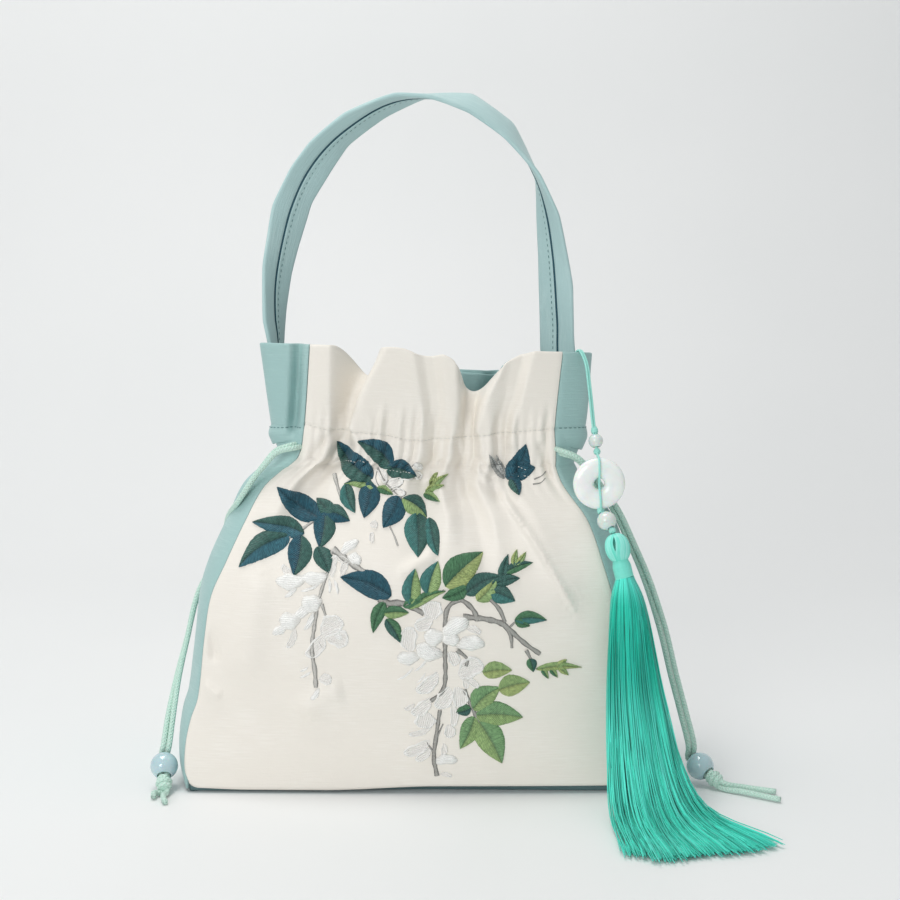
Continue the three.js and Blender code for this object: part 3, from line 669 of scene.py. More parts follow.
# The front's rounded lower left corner
CORNER_LIFT = 6.5
CORNER_WIDE = 6
CORNER_HIGH = 16
HEM_LIFT = 1.0
HEM_WIDE = 30
HEM_HIGH = 10
# A crease in the left side's cloth beside the front seam
GROOVE_DEPTH = 8
GROOVE_AT = 5.5
GROOVE_HALF = 4.5
GROOVE_FOOT = 170
GROOVE_RISE = 14
# The channel's upper seam on the front. Columns: x, z
UPPER_LINE = np.array([
    (-55.7, 180.6), (-45.2, 177.7), (-30.7, 176.7), (-15.8, 175.4), (-3.4, 172.9), (5.6, 172.4), (9.5, 173.1),
    (20, 173.8), (29.5, 174), (42, 176), (56.8, 177.2), (68.3, 178.1),
])
# Creases of the front as seen square on. Columns: three x and z pairs, width, height
FRONT_CREASES = [
    (41.7, 146.6, 58.6, 124.2, 79, 89.4, 1.9, 1.3),
    (41.7, 146.6, 58.6, 124.2, 79, 89.4, 9, 1.4),
    (27, 157.8, 34.8, 150.7, 43.2, 143.8, 2.5, -1.6),
    (19.5, 172.9, 23, 157.5, 25.9, 143.5, 2, -1.3),
    (12, 163.7, 13, 156.9, 15, 148.9, 2, -1.1),
    (7.5, 172.8, 8, 161.7, 9.1, 153.4, 2, -0.9),
    (31.4, 165.3, 33.9, 158.2, 38.8, 151.3, 2, -1.5),
    (-40.7, 177.3, -48.8, 168.2, -51.7, 161.3, 2.2, -1.2),
    (-35.5, 176.9, -41.3, 166.8, -45.9, 156.7, 2.2, -1.2),
    (-30.2, 172.2, -35.3, 164.1, -39.1, 157.4, 1.8, -1.2),
    (10.2, 120.1, 2, 115.5, -6.7, 110, 3, 1.2),
    (61.8, 172.7, 63.8, 162.7, 67.7, 153.1, 2, -1.3),
    (46.9, 170.2, 49.3, 161.9, 52.7, 153.4, 2, -1),
    (-103.4, 80.6, -99.9, 73.5, -98.4, 65.1, 3, -1.2),
    (-104.6, 55.9, -101.1, 51.1, -95.1, 47.9, 2.5, 0.9),
    (19.5, 143.8, 22.9, 125.3, 26.7, 109, 8, 1.5),
    (7.1, 153.3, 6.2, 144, 2.3, 130.3, 4, -1.5),
    (-55.5, 38.3, -46.5, 47.7, -34.2, 52.9, 7, 1.2),
    (-76, 115.4, -80.7, 86.5, -83.4, 56.8, 9, 1.2),
]
CREASE_SCALE = 1.9
CREASE_STEPS = 25
CREASE_ENDS = 0.25
PUCKERS = 9
PUCKER_HEIGHT = 0.8
PUCKER_FOOT = 138
PUCKER_RISE = 22
PUCKER_TOP = 194
PUCKER_FALL = 16


def read(rows, column, z):
    """One column of a table, read at heights by a cubic through its rows."""
    heights = rows[:, 0]
    values = rows[:, column]
    last = len(heights) - 1
    low = np.maximum(np.arange(last + 1) - 1, 0)
    high = np.minimum(np.arange(last + 1) + 1, last)
    slopes = (values[high] - values[low]) / (heights[high] - heights[low])
    at = np.clip(z, heights[0], heights[-1])
    i = np.clip(np.searchsorted(heights, at) - 1, 0, last - 1)
    step = heights[i + 1] - heights[i]
    t = (at - heights[i]) / step
    start = slopes[i] * step
    end = slopes[i + 1] * step
    a = values[i]
    b = values[i + 1]
    return a + t * (start + t * (3 * (b - a) - 2 * start - end + t * (2 * (a - b) + start + end)))


def crease_relief(creases, x, z):
    """How far the creases raise the cloth at places seen square on."""
    relief = np.zeros(np.broadcast(x, z).shape)
    for x0, z0, x1, z1, x2, z2, width, height in creases:
        near = np.full(relief.shape, 1e9)
        share = np.zeros(relief.shape)
        for t in np.linspace(0, 1, CREASE_STEPS):
            px, pz = ((1 - t) ** 2 * a + 2 * t * (1 - t) * (2 * b - (a + c) / 2) + t * t * c
                      for a, b, c in ((x0, x1, x2), (z0, z1, z2)))
            distance = (x - px) ** 2 + (z - pz) ** 2
            share = np.where(distance < near, t, share)
            near = np.minimum(near, distance)
        fade = ease(4 * np.minimum(share, 1 - share) + CREASE_ENDS)
        relief += CREASE_SCALE * height * bell(np.sqrt(near) / width) * fade
    return relief


pucker_turns = random.uniform(9, 26, (2, PUCKERS))
pucker_starts = random.uniform(0, 2 * np.pi, (2, PUCKERS))


def pucker_relief(facing, across, z):
    """Fine gathers of the channel, fading above and below it."""
    index = 0 if facing < 0 else 1
    waves = np.zeros(np.broadcast(across, z).shape)
    for turns, start in zip(pucker_turns[index], pucker_starts[index]):
        waves = waves + np.cos(2 * np.pi * turns * across + start) / PUCKERS**0.5
    strength = ease((z - PUCKER_FOOT) / PUCKER_RISE) * ease((PUCKER_TOP - z) / PUCKER_FALL)
    return PUCKER_HEIGHT * waves * strength


def valley(t):
    """Section of a fold: a flat floor between two walls."""
    return 1 - ease((np.abs(t) - VALLEY_FLOOR) / (1 - VALLEY_FLOOR))


def ruffle_rise(z):
    """0 at the channel's upper seam, 1 at the rim."""
    return clamp01((z - UPPER_STITCH) / (RIM - UPPER_STITCH))


def fold_shape(fold, across, z, span):
    """Places across a fold, its half width and its depth."""
    rise = ruffle_rise(z)
    down = clamp01((LOWER_STITCH - z) / fold.reach)
    place = (across - mix(fold.neck, fold.rim, rise)) * span
    width = mix(fold.half, fold.rim_half, rise) * (1 + FOLD_SPREAD * down)
    return place, width, mix(fold.push, fold.rim_push, rise) * (1 - ease(down))


def panel_out(facing, folds, x, z, across, span):
    """How far the front or back stands out, with its folds, gathers and creases."""
    out = read(SECTION, 3, z) + read(SECTION, 4, z) * (1 - np.abs(2 * across - 1) ** BOW_POWER)
    fade = ease(np.minimum(across, 1 - across) * span / EDGE_FADE)
    for fold in folds:
        place, width, depth = fold_shape(fold, across, z, span)
        out = out - depth * fade * valley(place / width)
    relief = pucker_relief(facing, across, z)
    if facing < 0:
        relief = crease_relief(FRONT_CREASES, x, z) + relief
    return out + fade * relief


def panel_points(facing, folds, across, z):
    left = read(SECTION, 1, z)
    span = read(SECTION, 2, z) - left
    x = left + span * across
    out = panel_out(facing, folds, x, z, across, span)
    rise = ruffle_rise(z)
    from_seam = np.minimum(across, 1 - across) * span
    fade = ease(from_seam / EDGE_FADE)
    opening = PINCH_OPEN * ease((rise - PINCH_OPENS_AT) / (1 - PINCH_OPENS_AT))
    drawn = ease((z - PINCH_FOOT) / PINCH_RISE) * (1 - opening)
    up = z
    for fold in folds:
        place, width, _ = fold_shape(fold, across, z, span)
        wall = bump((np.abs(place / width) - PINCH_AT) / PINCH_HALF) * width / fold.rim_half
        pinch = np.where(place > 0, -fold.right_pinch, fold.left_pinch) * wall * drawn
        x = x + fade * (fold.tuck * valley(place / width) * rise + pinch)
        up = up - fold.drop * fade * bump(place / fold.drop_half) * rise * rise
    up = up + rise * RIM_TILT * x
    if facing > 0:
        up = up - rise * (SEAM_FALL + BACK_FALL * ease(from_seam / FALL_FADE))
    else:
        up = up + EDGE_LIFT * ease((across - LIFT_FROM) / LIFT_SPAN) * clamp01(1 - z / LIFT_HEIGHT)
        round_off = 1 - np.sqrt(1 - clamp01(1 - across * span / CORNER_WIDE) ** 2)
        up = up + CORNER_LIFT * round_off * clamp01(1 - z / CORNER_HIGH) ** 2
        up = up + HEM_LIFT * (1 - ease(across * span / HEM_WIDE)) * clamp01(1 - z / HEM_HIGH)
    return coords(x, facing * out, up)


def gusset_points(side, through, z):
    column = 1 if side < 0 else 3
    depth = read(SECTION, 3, z)
    y = depth * (2 * through - 1)
    stand = read(GUSSET, column, z) * (1 - np.abs(2 * through - 1) ** GUSSET_POWER)
    fold = read(GUSSET, column + 1, z) * bump(y / np.minimum(GUSSET_FOLD_HALF, depth))
    x = read(SECTION, 1 if side < 0 else 2, z) + side * (stand - fold)
    if side < 0:
        groove = bump((stand - fold - GROOVE_AT) / GROOVE_HALF) * ease((z - GROOVE_FOOT) / GROOVE_RISE)
        y = y + GROOVE_DEPTH * groove * (y < 0)
    return coords(x, y, z + ruffle_rise(z) * (RIM_TILT * x - SEAM_FALL * ease(through)))


FRONT_COLUMNS = 200
BACK_COLUMNS = 110
GUSSET_COLUMNS = 60
GUSSET_CROWD = 0.7
LEVELS = np.concatenate([
    np.arange(1.8, 132, 1.6), np.arange(132, 168, 0.9), np.arange(168, 184, 0.5), np.linspace(184, RIM, 30),
])
SEAM_DIP = 0.5
SEAM_WIDE = 1.3
SEAM_COLUMNS = 12
STITCH_DIP = 0.5
STITCH_WIDE = 0.9
CHANNEL_PILLOW = 0.8
GATHER_REACH = 9
GATHER_FADE = 12
ROLL = 3


def crowd(steps, share):
    """Steps from 0 to 1, drawn closer near both ends."""
    return mix(steps, (1 - np.cos(np.pi * steps)) / 2, share)


def outward(rows):
    along = np.roll(rows, -1, axis=1) - np.roll(rows, 1, axis=1)
    return unit(np.cross(along, np.gradient(rows, axis=0)))


def upper_seam(x):
    return np.interp(x, UPPER_LINE[:, 0], UPPER_LINE[:, 1])


def upper_heights(count):
    """Height of the channel's upper seam at each column round the shell."""
    left, right = (read(SECTION, column, float(UPPER_STITCH)) for column in (1, 2))
    heights = np.full(count, float(UPPER_STITCH))
    heights[:FRONT_COLUMNS] = upper_seam(np.linspace(left, right, FRONT_COLUMNS))
    return heights


def channel_relief(z, upper):
    """The drawstring channel's swell between its two sunk seams."""
    sunk = STITCH_DIP * (bell((z - upper) / STITCH_WIDE) + bell((z - LOWER_STITCH) / STITCH_WIDE))
    return CHANNEL_PILLOW * np.sin(np.pi * clamp01((z - LOWER_STITCH) / (upper - LOWER_STITCH))) - sunk


def shell_rows(levels):
    z = levels[:, None]
    front_at, gusset_at, back_at = (
        np.linspace(0, 1, count + 1)[None, :-1] for count in (FRONT_COLUMNS, GUSSET_COLUMNS, BACK_COLUMNS)
    )
    gusset_at = crowd(gusset_at, GUSSET_CROWD)
    rows = np.concatenate([
        panel_points(-1, FRONT_FOLDS, front_at, z),
        gusset_points(1, gusset_at, z),
        panel_points(1, BACK_FOLDS, 1 - back_at, z),
        gusset_points(-1, 1 - gusset_at, z),
    ], axis=1)
    normals = outward(rows)
    count = rows.shape[1]
    raised = np.broadcast_to(channel_relief(z, upper_heights(count)), rows.shape[:2]).copy()
    for seam in SEAMS:
        for offset in range(-SEAM_COLUMNS, SEAM_COLUMNS + 1):
            k = (seam + offset) % count
            apart = np.linalg.norm(rows[:, k] - rows[:, seam % count], axis=1)
            raised[:, k] -= SEAM_DIP * bell(apart / SEAM_WIDE)
    return rows + normals * raised[..., None]


RIGHT_SEAM = FRONT_COLUMNS
RIGHT_BACK = RIGHT_SEAM + GUSSET_COLUMNS
LEFT_BACK = RIGHT_BACK + BACK_COLUMNS
LEFT_SEAM = LEFT_BACK + GUSSET_COLUMNS
SEAMS = (0, RIGHT_SEAM, RIGHT_BACK, LEFT_BACK)

shell = shell_rows(LEVELS)
shell_normals = outward(shell)
# Directions for the cloth's inner faces, averaged round the shell below the ruffle, where gathers are tight
gathered = sum(np.roll(shell_normals, step, axis=1) for step in range(-GATHER_REACH, GATHER_REACH + 1))
in_ruffle = ease((LEVELS - UPPER_STITCH) / GATHER_FADE)[:, None, None]
shell_inward = unit(mix(unit(gathered), shell_normals, in_ruffle))
shell_inside = shell - shell_inward * WALL


def rolled_top(outer, inner, below, steps):
    """Rows that turn over a cloth edge in a half circle."""
    middle = (outer + inner) / 2
    reach = (outer - inner) / 2
    up = unit(outer - below) * np.linalg.norm(reach, axis=-1, keepdims=True)
    angles = np.linspace(0, np.pi, steps + 2)[1:-1]
    return np.array([middle + reach * math.cos(a) + up * math.sin(a) for a in angles])


def across_run(rows):
    steps = np.linalg.norm(np.diff(rows, axis=1), axis=2)
    run = np.concatenate([np.zeros((len(rows), 1)), np.cumsum(steps, axis=1)], axis=1)
    return run - run[:, -1:] / 2


def panel(name, node, first, last, outside):
    """A piece of the shell as a closed sheet with a rolled top, in the lining's cloth inside."""
    columns = np.arange(first, last + 1) % shell.shape[1]
    sheets = []
    for rows in (shell, shell_inside):
        sheet = rows[:, columns].copy()
        sheet[:, 0] += unit(sheet[:, 1] - sheet[:, 0]) * SEAM_PULL
        sheet[:, -1] += unit(sheet[:, -2] - sheet[:, -1]) * SEAM_PULL
        sheets.append(sheet)
    outer, inner = sheets
    loop = np.concatenate([outer, rolled_top(outer[-1], inner[-1], outer[-2], ROLL), inner[::-1]])
    height = len(outer)
    total, width = loop.shape[:2]
    run = across_run(outer)
    runs = np.concatenate([run, np.repeat(run[-1:], ROLL, axis=0), run[::-1]])
    heights = np.concatenate([LEVELS, RIM + 1 + np.arange(ROLL), LEVELS[::-1]])
    faces = grid_faces(total, width, close=True)
    looks = [0 if i // (width - 1) < height + 1 else 1 for i in range(len(faces))]
    sides = [[j, j + 1, total - 2 - j, total - 1 - j] for j in range(height - 1)]
    sides.append(list(range(height - 1, height + ROLL + 1)))
    for side in sides:
        faces.append([j * width for j in side])
        faces.append([j * width + width - 1 for j in side[::-1]])
        looks.extend([0, 0])
    builder = Builder()
    builder.add(loop, faces, coords(runs, heights[:, None]), look=looks)
    return builder.build(name, [outside, lining_cloth], [node])


front_panel = panel("satin_front", "front_panel", 0, RIGHT_SEAM, satin)
right_side = panel("teal_right_side", "right_gusset", RIGHT_SEAM, RIGHT_BACK, teal_cloth)
back_panel = panel("satin_back", "back_panel", RIGHT_BACK, LEFT_BACK, satin)
left_side = panel("teal_left_side", "left_gusset", LEFT_BACK, LEFT_SEAM, teal_cloth)

# Lining inside the channel and the ruffle

LINING_FOOT = 157
LINING_BELOW_RIM = 2
LINING_RUN = 380
LINING_ROLL = 2
lining_rows = (LEVELS >= LINING_FOOT) & (LEVELS < RIM - LINING_BELOW_RIM)
lining_outer, lining_inner = (
    (shell - shell_inward * depth)[lining_rows] for depth in (WALL + LINING_GAP, WALL + LINING_GAP + LINING)
)
lining_roll = rolled_top(lining_outer[-1], lining_inner[-1], lining_outer[-2], LINING_ROLL)
lining_loop = np.concatenate([lining_outer, lining_roll, lining_inner[::-1]])
lining_run = np.linspace(0, LINING_RUN, lining_loop.shape[1])
lining = Builder()
lining.add(lining_loop, grid_faces(*lining_loop.shape[:2], wrap=True, close=True),
           coords(lining_run, lining_loop[..., 2]))
lining_piece = lining.build("teal_lining", [lining_cloth], ["lining"])

# Base: a stiffened cloth plate with a soft edge

# Columns: inset, height, share of the front's recess
BASE_RINGS = [
    (1.7, 7.0, 0), (1.7, 0.9, 1), (2.1, 0.35, 1), (3.0, 0.08, 1), (4.0, 0.0, 1), (20.0, 0.0, 1),
]
BASE_RECESS = 4
# Where the recess begins and ends along the front, as places on its bump
RECESS_FROM = -0.81
RECESS_TO = 0.75
base_count = shell.shape[1]
base_recess = np.zeros((base_count, 1))
base_recess[:FRONT_COLUMNS, 0] = BASE_RECESS * bump(np.linspace(RECESS_FROM, RECESS_TO, FRONT_COLUMNS))
base_inward = unit(shell_normals[2] * (1, 1, 0))
base_rings = []
for inset, height, share in BASE_RINGS:
    base_ring = shell[0] - base_inward * (inset + share * base_recess)
    base_ring[:, 2] = height
    base_rings.append(base_ring)
base_rings = np.array(base_rings)
base_faces = flipped(grid_faces(len(BASE_RINGS), base_count, wrap=True))
base_faces.append(list(range((len(BASE_RINGS) - 1) * base_count, len(BASE_RINGS) * base_count))[::-1])
base_faces.append(list(range(base_count)))
base = Builder()
base.add(base_rings, base_faces, base_rings[..., :2])
base.build("teal_base", [base_cloth_in_painted_shade], ["base_panel"])


# The casing's flaps: the sides' upper cloth hangs free over the drawstring's ways out

FLAP_TOP = 181
LEFT_FLAP_FOOT = 170
RIGHT_FLAP_FOOT = 167.2
FLAP_PROUD = 2.2
FLAP_SUNK = -1.3
FLAP_ARCH = 2.5
FLAP_THICK = 0.9
FLAP_HEM = 1.04
FLAP_RUN = 50
FLAP_COLUMNS = 61
FLAP_ROWS = 16
FLAP_CROWD = 0.8
FLAP_ENDS = 0.003
SLOPE_THROUGH = 0.002
SLOPE_HEIGHT = 0.5


def side_normal(side, through, z):
    """Outward direction of a side's cloth."""
    before, after = (gusset_points(side, clamp01(through + hand * SLOPE_THROUGH), z) for hand in (-1, 1))
    below, above = (gusset_points(side, through, z + hand * SLOPE_HEIGHT) for hand in (-1, 1))
    return unit(np.cross(after - before, above - below)) * side


def from_seam_to_seam(count):
    return mix(FLAP_ENDS, 1 - FLAP_ENDS, crowd(np.linspace(0, 1, count), FLAP_CROWD))


def flap_foot(side):
    return LEFT_FLAP_FOOT if side < 0 else RIGHT_FLAP_FOOT


def flap_points(side, through, down, extra=0.0):
    """Points of a flap over the side's cloth; down runs from its sewn top to its hem."""
    z = mix(FLAP_TOP, flap_foot(side) + FLAP_ARCH * np.abs(2 * through - 1) ** 2, down)
    points = gusset_points(side, through, z)
    hanging = mix(FLAP_SUNK, FLAP_PROUD, np.sin(np.pi * through) ** 0.6)
    proud = CHANNEL_PILLOW + mix(FLAP_SUNK, hanging, ease(1.6 * down)) + extra
    return points + side_normal(side, through, z) * proud[..., None]


def flap(side, name):
    through = from_seam_to_seam(FLAP_COLUMNS)[None, :]
    down = np.linspace(0, 1, FLAP_ROWS)[:, None]
    outer = flap_points(side, through, down)
    inner = flap_points(side, through, down, -FLAP_THICK)
    hem = flap_points(side, through, np.full((1, 1), FLAP_HEM), -FLAP_THICK / 2)
    loop = np.concatenate([outer, hem, inner[::-1]])
    faces = grid_faces(len(loop), FLAP_COLUMNS, close=True)
    if side > 0:
        faces = flipped(faces)
    ends = [[j * FLAP_COLUMNS + k for j in range(len(loop))] for k in (0, FLAP_COLUMNS - 1)]
    faces.extend([ends[0][::side], ends[1][::-side]])
    builder = Builder()
    builder.add(loop, faces, coords(np.linspace(0, FLAP_RUN, FLAP_COLUMNS), loop[..., 2]))
    piece = builder.build(name, [teal_cloth])


flap(-1, "left_channel_flap")
flap(1, "right_channel_flap")


# Stitches

# How a dash lifts from the cloth and swells along its length, as shares of its radius
DASH_LIFT = np.array((-0.6, 0.5, 0.7, 0.5, -0.6))
DASH_SWELL = np.array((0.5, 0.95, 1, 0.95, 0.5))
FIRST_DASH = 0.5


def add_stitches(builder, line, normals, dash, gap, radius, tint):
    """Short raised dashes along a dense line that lies on the cloth."""
    run = run_along(line)
    at = FIRST_DASH
    while at + dash < run[-1]:
        spots = at + dash * np.linspace(0, 1, len(DASH_LIFT))
        lift = unit(read_along(spots, run, normals)) * (radius * DASH_LIFT)[:, None]
        add_tube(builder, read_along(spots, run, line) + lift, radius * DASH_SWELL, 5, tint)
        at += dash + gap


def along_seam(first, last, heights):
    """Points and normals of the shell where columns meet their own heights."""
    columns = np.arange(first, last)
    at = np.interp(heights[columns], LEVELS, np.arange(len(LEVELS)))
    low = at.astype(int)
    t = (at - low)[:, None]
    return [mix(rows[low, columns], rows[low + 1, columns], t) for rows in (shell, shell_normals)]


STITCH_IVORY = linear(252, 249, 243)
STITCH_TEAL = linear(96, 138, 138)
stitches = Builder()
seam_heights = upper_heights(shell.shape[1])
for first, last in ((3, RIGHT_SEAM - 3), (RIGHT_BACK + 2, LEFT_BACK - 2)):
    line, normals = along_seam(first, last, seam_heights)
    add_stitches(stitches, line, normals, dash=1.7, gap=0.8, radius=0.17, tint=STITCH_IVORY)
for side in (-1, 1):
    through = from_seam_to_seam(120)[4:-4]
    stitch_share = (FLAP_TOP - UPPER_STITCH) / (FLAP_TOP - flap_foot(side))
    line = flap_points(side, through, np.full(len(through), stitch_share))
    normals = side_normal(side, through, UPPER_STITCH)
    add_stitches(stitches, line, normals, dash=2.0, gap=0.8, radius=0.22, tint=STITCH_TEAL)
stitches.build("channel_stitches", [stitch_thread])


# Strap: a cloth band folded to a tube and pressed flat, with its seam along the inner face

STRAP_WIDTH = 20.0
STRAP_THICK = 2.2
STRAP_INSET = WALL + LINING_GAP + LINING + LINING_GAP + STRAP_THICK / 2 + 1
STRAP_ROWS = 260
SEAM_AT = -0.8
STITCH_AT = 1.9
CHORD_SHARE = 0.75
KINK_PASSES = 2
# Where the two edges of the band kink, as x and z near its middle line
NEAR_KINKS = [
    (-73, 236), (-72, 257), (-62, 295), (-40, 325), (-18, 339), (6, 344), (27, 342), (47, 328), (62, 304),
    (70, 264), (72, 230), (72, 218), (73.5, 206),
]
FAR_KINKS = [
    (-73, 232), (-73, 259), (-66, 288), (-57, 304), (-47, 316), (-32, 331), (-10, 343), (8, 344), (28, 341),
    (48, 327), (61, 306), (66, 284), (71, 248), (72, 226), (72, 218), (73.5, 206),
]
# Unevenness along the band. Columns: size, turns, start
EDGE_RIPPLES = [(0.022, 11.3, 0.6), (0.018, 19.1, 0)]
CUP_RIPPLE = (0.55, 7.7, 1.0)
BACKWARD = np.array((0, 1, 0))


def sewn(side, z):
    point = gusset_points(side, np.array(0.5), np.array(float(z)))
    return (point[0] - side * STRAP_INSET, 0, z, 0)


# Columns: x, y, z, turn
STRAP = np.array([
    sewn(-1, 192), sewn(-1, 206), sewn(-1, 217), (-73, 0, 232, 24), (-71, 0, 258, 40), (-64.3, 0, 287, 56),
    (-54.5, 0, 307, 52), (-38.7, 0, 326, 36), (-17.3, 0, 339.5, 24), (5.4, 0, 344.5, -8), (25, 0, 342, -32),
    (45, 0, 329, -30), (61, 0, 306, -2), (65.8, 0, 287, 27), (70, 0, 262, 50), (71.5, 0, 234, 55),
    (72, 0, 218, 55), (73.5, 0, 206, 50), sewn(1, 190),
])
strap_line = smooth_line(STRAP[:, :3], STRAP_ROWS)
strap_at = np.linspace(0, len(STRAP) - 1, STRAP_ROWS)
strap_turn = np.radians(np.interp(strap_at, np.arange(len(STRAP)), STRAP[:, 3]))
strap_tangent = unit(np.gradient(strap_line, axis=0))
strap_inward = unit(np.cross(BACKWARD, strap_tangent))
strap_face = unit(strap_inward * np.cos(strap_turn)[:, None] - BACKWARD * np.sin(strap_turn)[:, None])
strap_side = unit(np.cross(strap_tangent, strap_face))
half = STRAP_WIDTH / 2
thick = STRAP_THICK / 2
# Section of the band: place across, height over the middle, and look of the strip that follows
STRAP_SECTION = [
    (-half, 0.0, 0), (-half + 0.25, thick * 0.8, 0), (-half + 1.2, thick, 0), (-6, thick + 0.1, 0),
    (-3, thick + 0.2, 0), (SEAM_AT - 0.9, thick + 0.15, 0), (SEAM_AT - 0.45, thick - 0.1, 1),
    (SEAM_AT + 0.4, thick - 0.1, 1), (SEAM_AT + 0.5, thick + 0.35, 0), (SEAM_AT + 0.95, thick + 0.5, 0),
    (STITCH_AT - 0.7, thick + 0.3, 0), (STITCH_AT, thick + 0.1, 0), (STITCH_AT + 0.8, thick + 0.1, 0),
    (6, thick + 0.05, 0), (half - 1.2, thick, 0), (half - 0.25, thick * 0.8, 0), (half, 0.0, 0),
    (half - 0.25, -thick * 0.8, 0), (half - 1.2, -thick, 0), (5, -thick - 0.15, 0), (0, -thick - 0.2, 0),
    (-5, -thick - 0.15, 0), (-half + 1.2, -thick, 0), (-half + 0.25, -thick * 0.8, 0),
]


def ripple(size, turns, start):
    return size * np.sin(2 * np.pi * turns * np.linspace(0, 1, STRAP_ROWS) + start)


strap_edge = 1 + sum(ripple(*row) for row in EDGE_RIPPLES)
strap_cup = ripple(*CUP_RIPPLE)
section = np.array([(w, f) for w, f, _ in STRAP_SECTION])
strap_w = section[None, :, 0] * strap_edge[:, None]
strap_f = section[None, :, 1] + strap_cup[:, None] * (1 - (section[None, :, 0] / half) ** 2)
strap_points = (strap_line[:, None] + strap_w[..., None] * strap_side[:, None]
                + strap_f[..., None] * strap_face[:, None])


def chorded(points, kinks):
    """The band's lines drawn straight between its kinks."""
    rows = [int(np.argmin(np.hypot(strap_line[:, 0] - x, strap_line[:, 2] - z))) for x, z in kinks]
    rows = np.array([0, *rows, STRAP_ROWS - 1])
    at = np.arange(STRAP_ROWS)
    straight = points.copy()
    for k in range(points.shape[1]):
        for axis in range(3):
            straight[:, k, axis] = np.interp(at, rows, points[rows, k, axis])
    for _ in range(KINK_PASSES):
        straight[1:-1] = (straight[:-2] + 2 * straight[1:-1] + straight[2:]) / 4
    return straight


from_middle = CHORD_SHARE * np.abs(section[None, :, :1] / half) ** 1.3
near_side = section[None, :, :1] > 0
strap_points = mix(strap_points, np.where(near_side, chorded(strap_points, NEAR_KINKS),
                                          chorded(strap_points, FAR_KINKS)), from_middle)
strap_faces = grid_faces(STRAP_ROWS, len(section), wrap=True)
strap_looks = [STRAP_SECTION[i % len(section)][2] for i in range(len(strap_faces))]
strap_faces.append(list(range(len(section))))
strap_faces.append([(STRAP_ROWS - 1) * len(section) + k for k in range(len(section))][::-1])
strap_looks.extend([0, 0])
strap = Builder()
strap_places = coords(run_along(strap_line)[:, None], strap_w)
strap.add(strap_points, flipped(strap_faces), strap_places, look=strap_looks)
strap.build("cloth_strap", [strap_cloth, seam_dark], ["handle_strap"])

strap_stitches = Builder()
stitch_height = thick + 0.1 + strap_cup * (1 - (STITCH_AT / half) ** 2)
stitch_line = strap_line + STITCH_AT * strap_side + stitch_height[:, None] * strap_face
add_stitches(strap_stitches, stitch_line, strap_face, dash=1.7, gap=1.2, radius=0.2, tint=STITCH_TEAL)
strap_stitches.build("strap_stitches", [stitch_thread])


# Embroidery on the front, drawn as seen square on and laid over the cloth

SLOPE_STEP = 0.4


def front_stand(x, z):
    """How far the front stands out at places seen square on."""
    left = read(SECTION, 1, z)
    span = read(SECTION, 2, z) - left
    out = panel_out(-1, FRONT_FOLDS, x, z, clamp01((x - left) / span), span)
    return out + channel_relief(z, upper_seam(x))


def on_front(x, z, height):
    """Points over the front panel, lifted from the cloth along its normal."""
    slope_x = (front_stand(x + SLOPE_STEP, z) - front_stand(x - SLOPE_STEP, z)) / (2 * SLOPE_STEP)
    slope_z = (front_stand(x, z + SLOPE_STEP) - front_stand(x, z - SLOPE_STEP)) / (2 * SLOPE_STEP)
    normal = unit(coords(-slope_x, -1.0, -slope_z))
    return coords(x, -front_stand(x, z), z) + normal * np.asarray(height)[..., None]


class Stroke:
    """A line on the front from base to tip, drawn longer by shares of itself before and after."""

    def __init__(self, base, tip, before, after):
        base = np.array(base, float)
        run = np.array(tip, float) - base
        self.start = base - before * run
        self.size = np.linalg.norm(run) * (1 + before + after)
        self.ahead = unit(run)
        self.beside = np.array((-self.ahead[1], self.ahead[0]))

    def at(self, along, off):
        """x and z of places along the line and off to its left."""
        return [self.start[k] + self.ahead[k] * along + self.beside[k] * off for k in (0, 1)]


DEEP_TEAL = linear(22, 88, 106)
SLATE_TEAL = linear(58, 116, 130)
DARK_GREEN = linear(62, 108, 96)
SEA_GREEN = linear(70, 136, 128)
LEAF_GREEN = linear(84, 136, 90)
MEADOW_GREEN = linear(144, 187, 125)
LIGHT_GREEN = linear(172, 200, 126)
YELLOW_GREEN = linear(194, 208, 128)
STEM_GREY = linear(184, 181, 175)
PALE_GREY = linear(222, 219, 213)
# Painted shade along the stems' edges
STEM_EDGE_PAINTED_SHADE = linear(88, 84, 80)
PETAL_WHITE = linear(252, 251, 248)
PETAL_PALE = linear(246, 242, 237)
PETAL_SHADE = linear(230, 226, 220)

LEAF_ROWS = 34
HALF_COLUMNS = 7
LEAF_BLUNT = 0.72
LEAF_FULL = 0.85
LEAF_HEIGHT = 0.95
LEAF_FLOOR = 0.15
LEAF_HEM = -0.35
LEAF_WIDER = 1.1
LEAF_LONGER = 0.05
# Where the padding of a half is highest, how steeply it falls from there, and how far down at the midrib
RIDGE_AT = 0.45
RIDGE_POWER = 2.4
RIDGE_FALL = 0.85
EDGE_RAGGED = 0.14
RIB_SHADE = 0.4
RIB_WIDE = 0.14
EDGE_SHADE = 0.25
# How far the stitches of a half slant back from the midrib
STITCH_SLANT = 0.9


def shaded(tint, shade):
    """A tint made darker or lighter at each point."""
    red, green, blue, _ = tint
    return coords(red * shade, green * shade, blue * shade, 1.0)


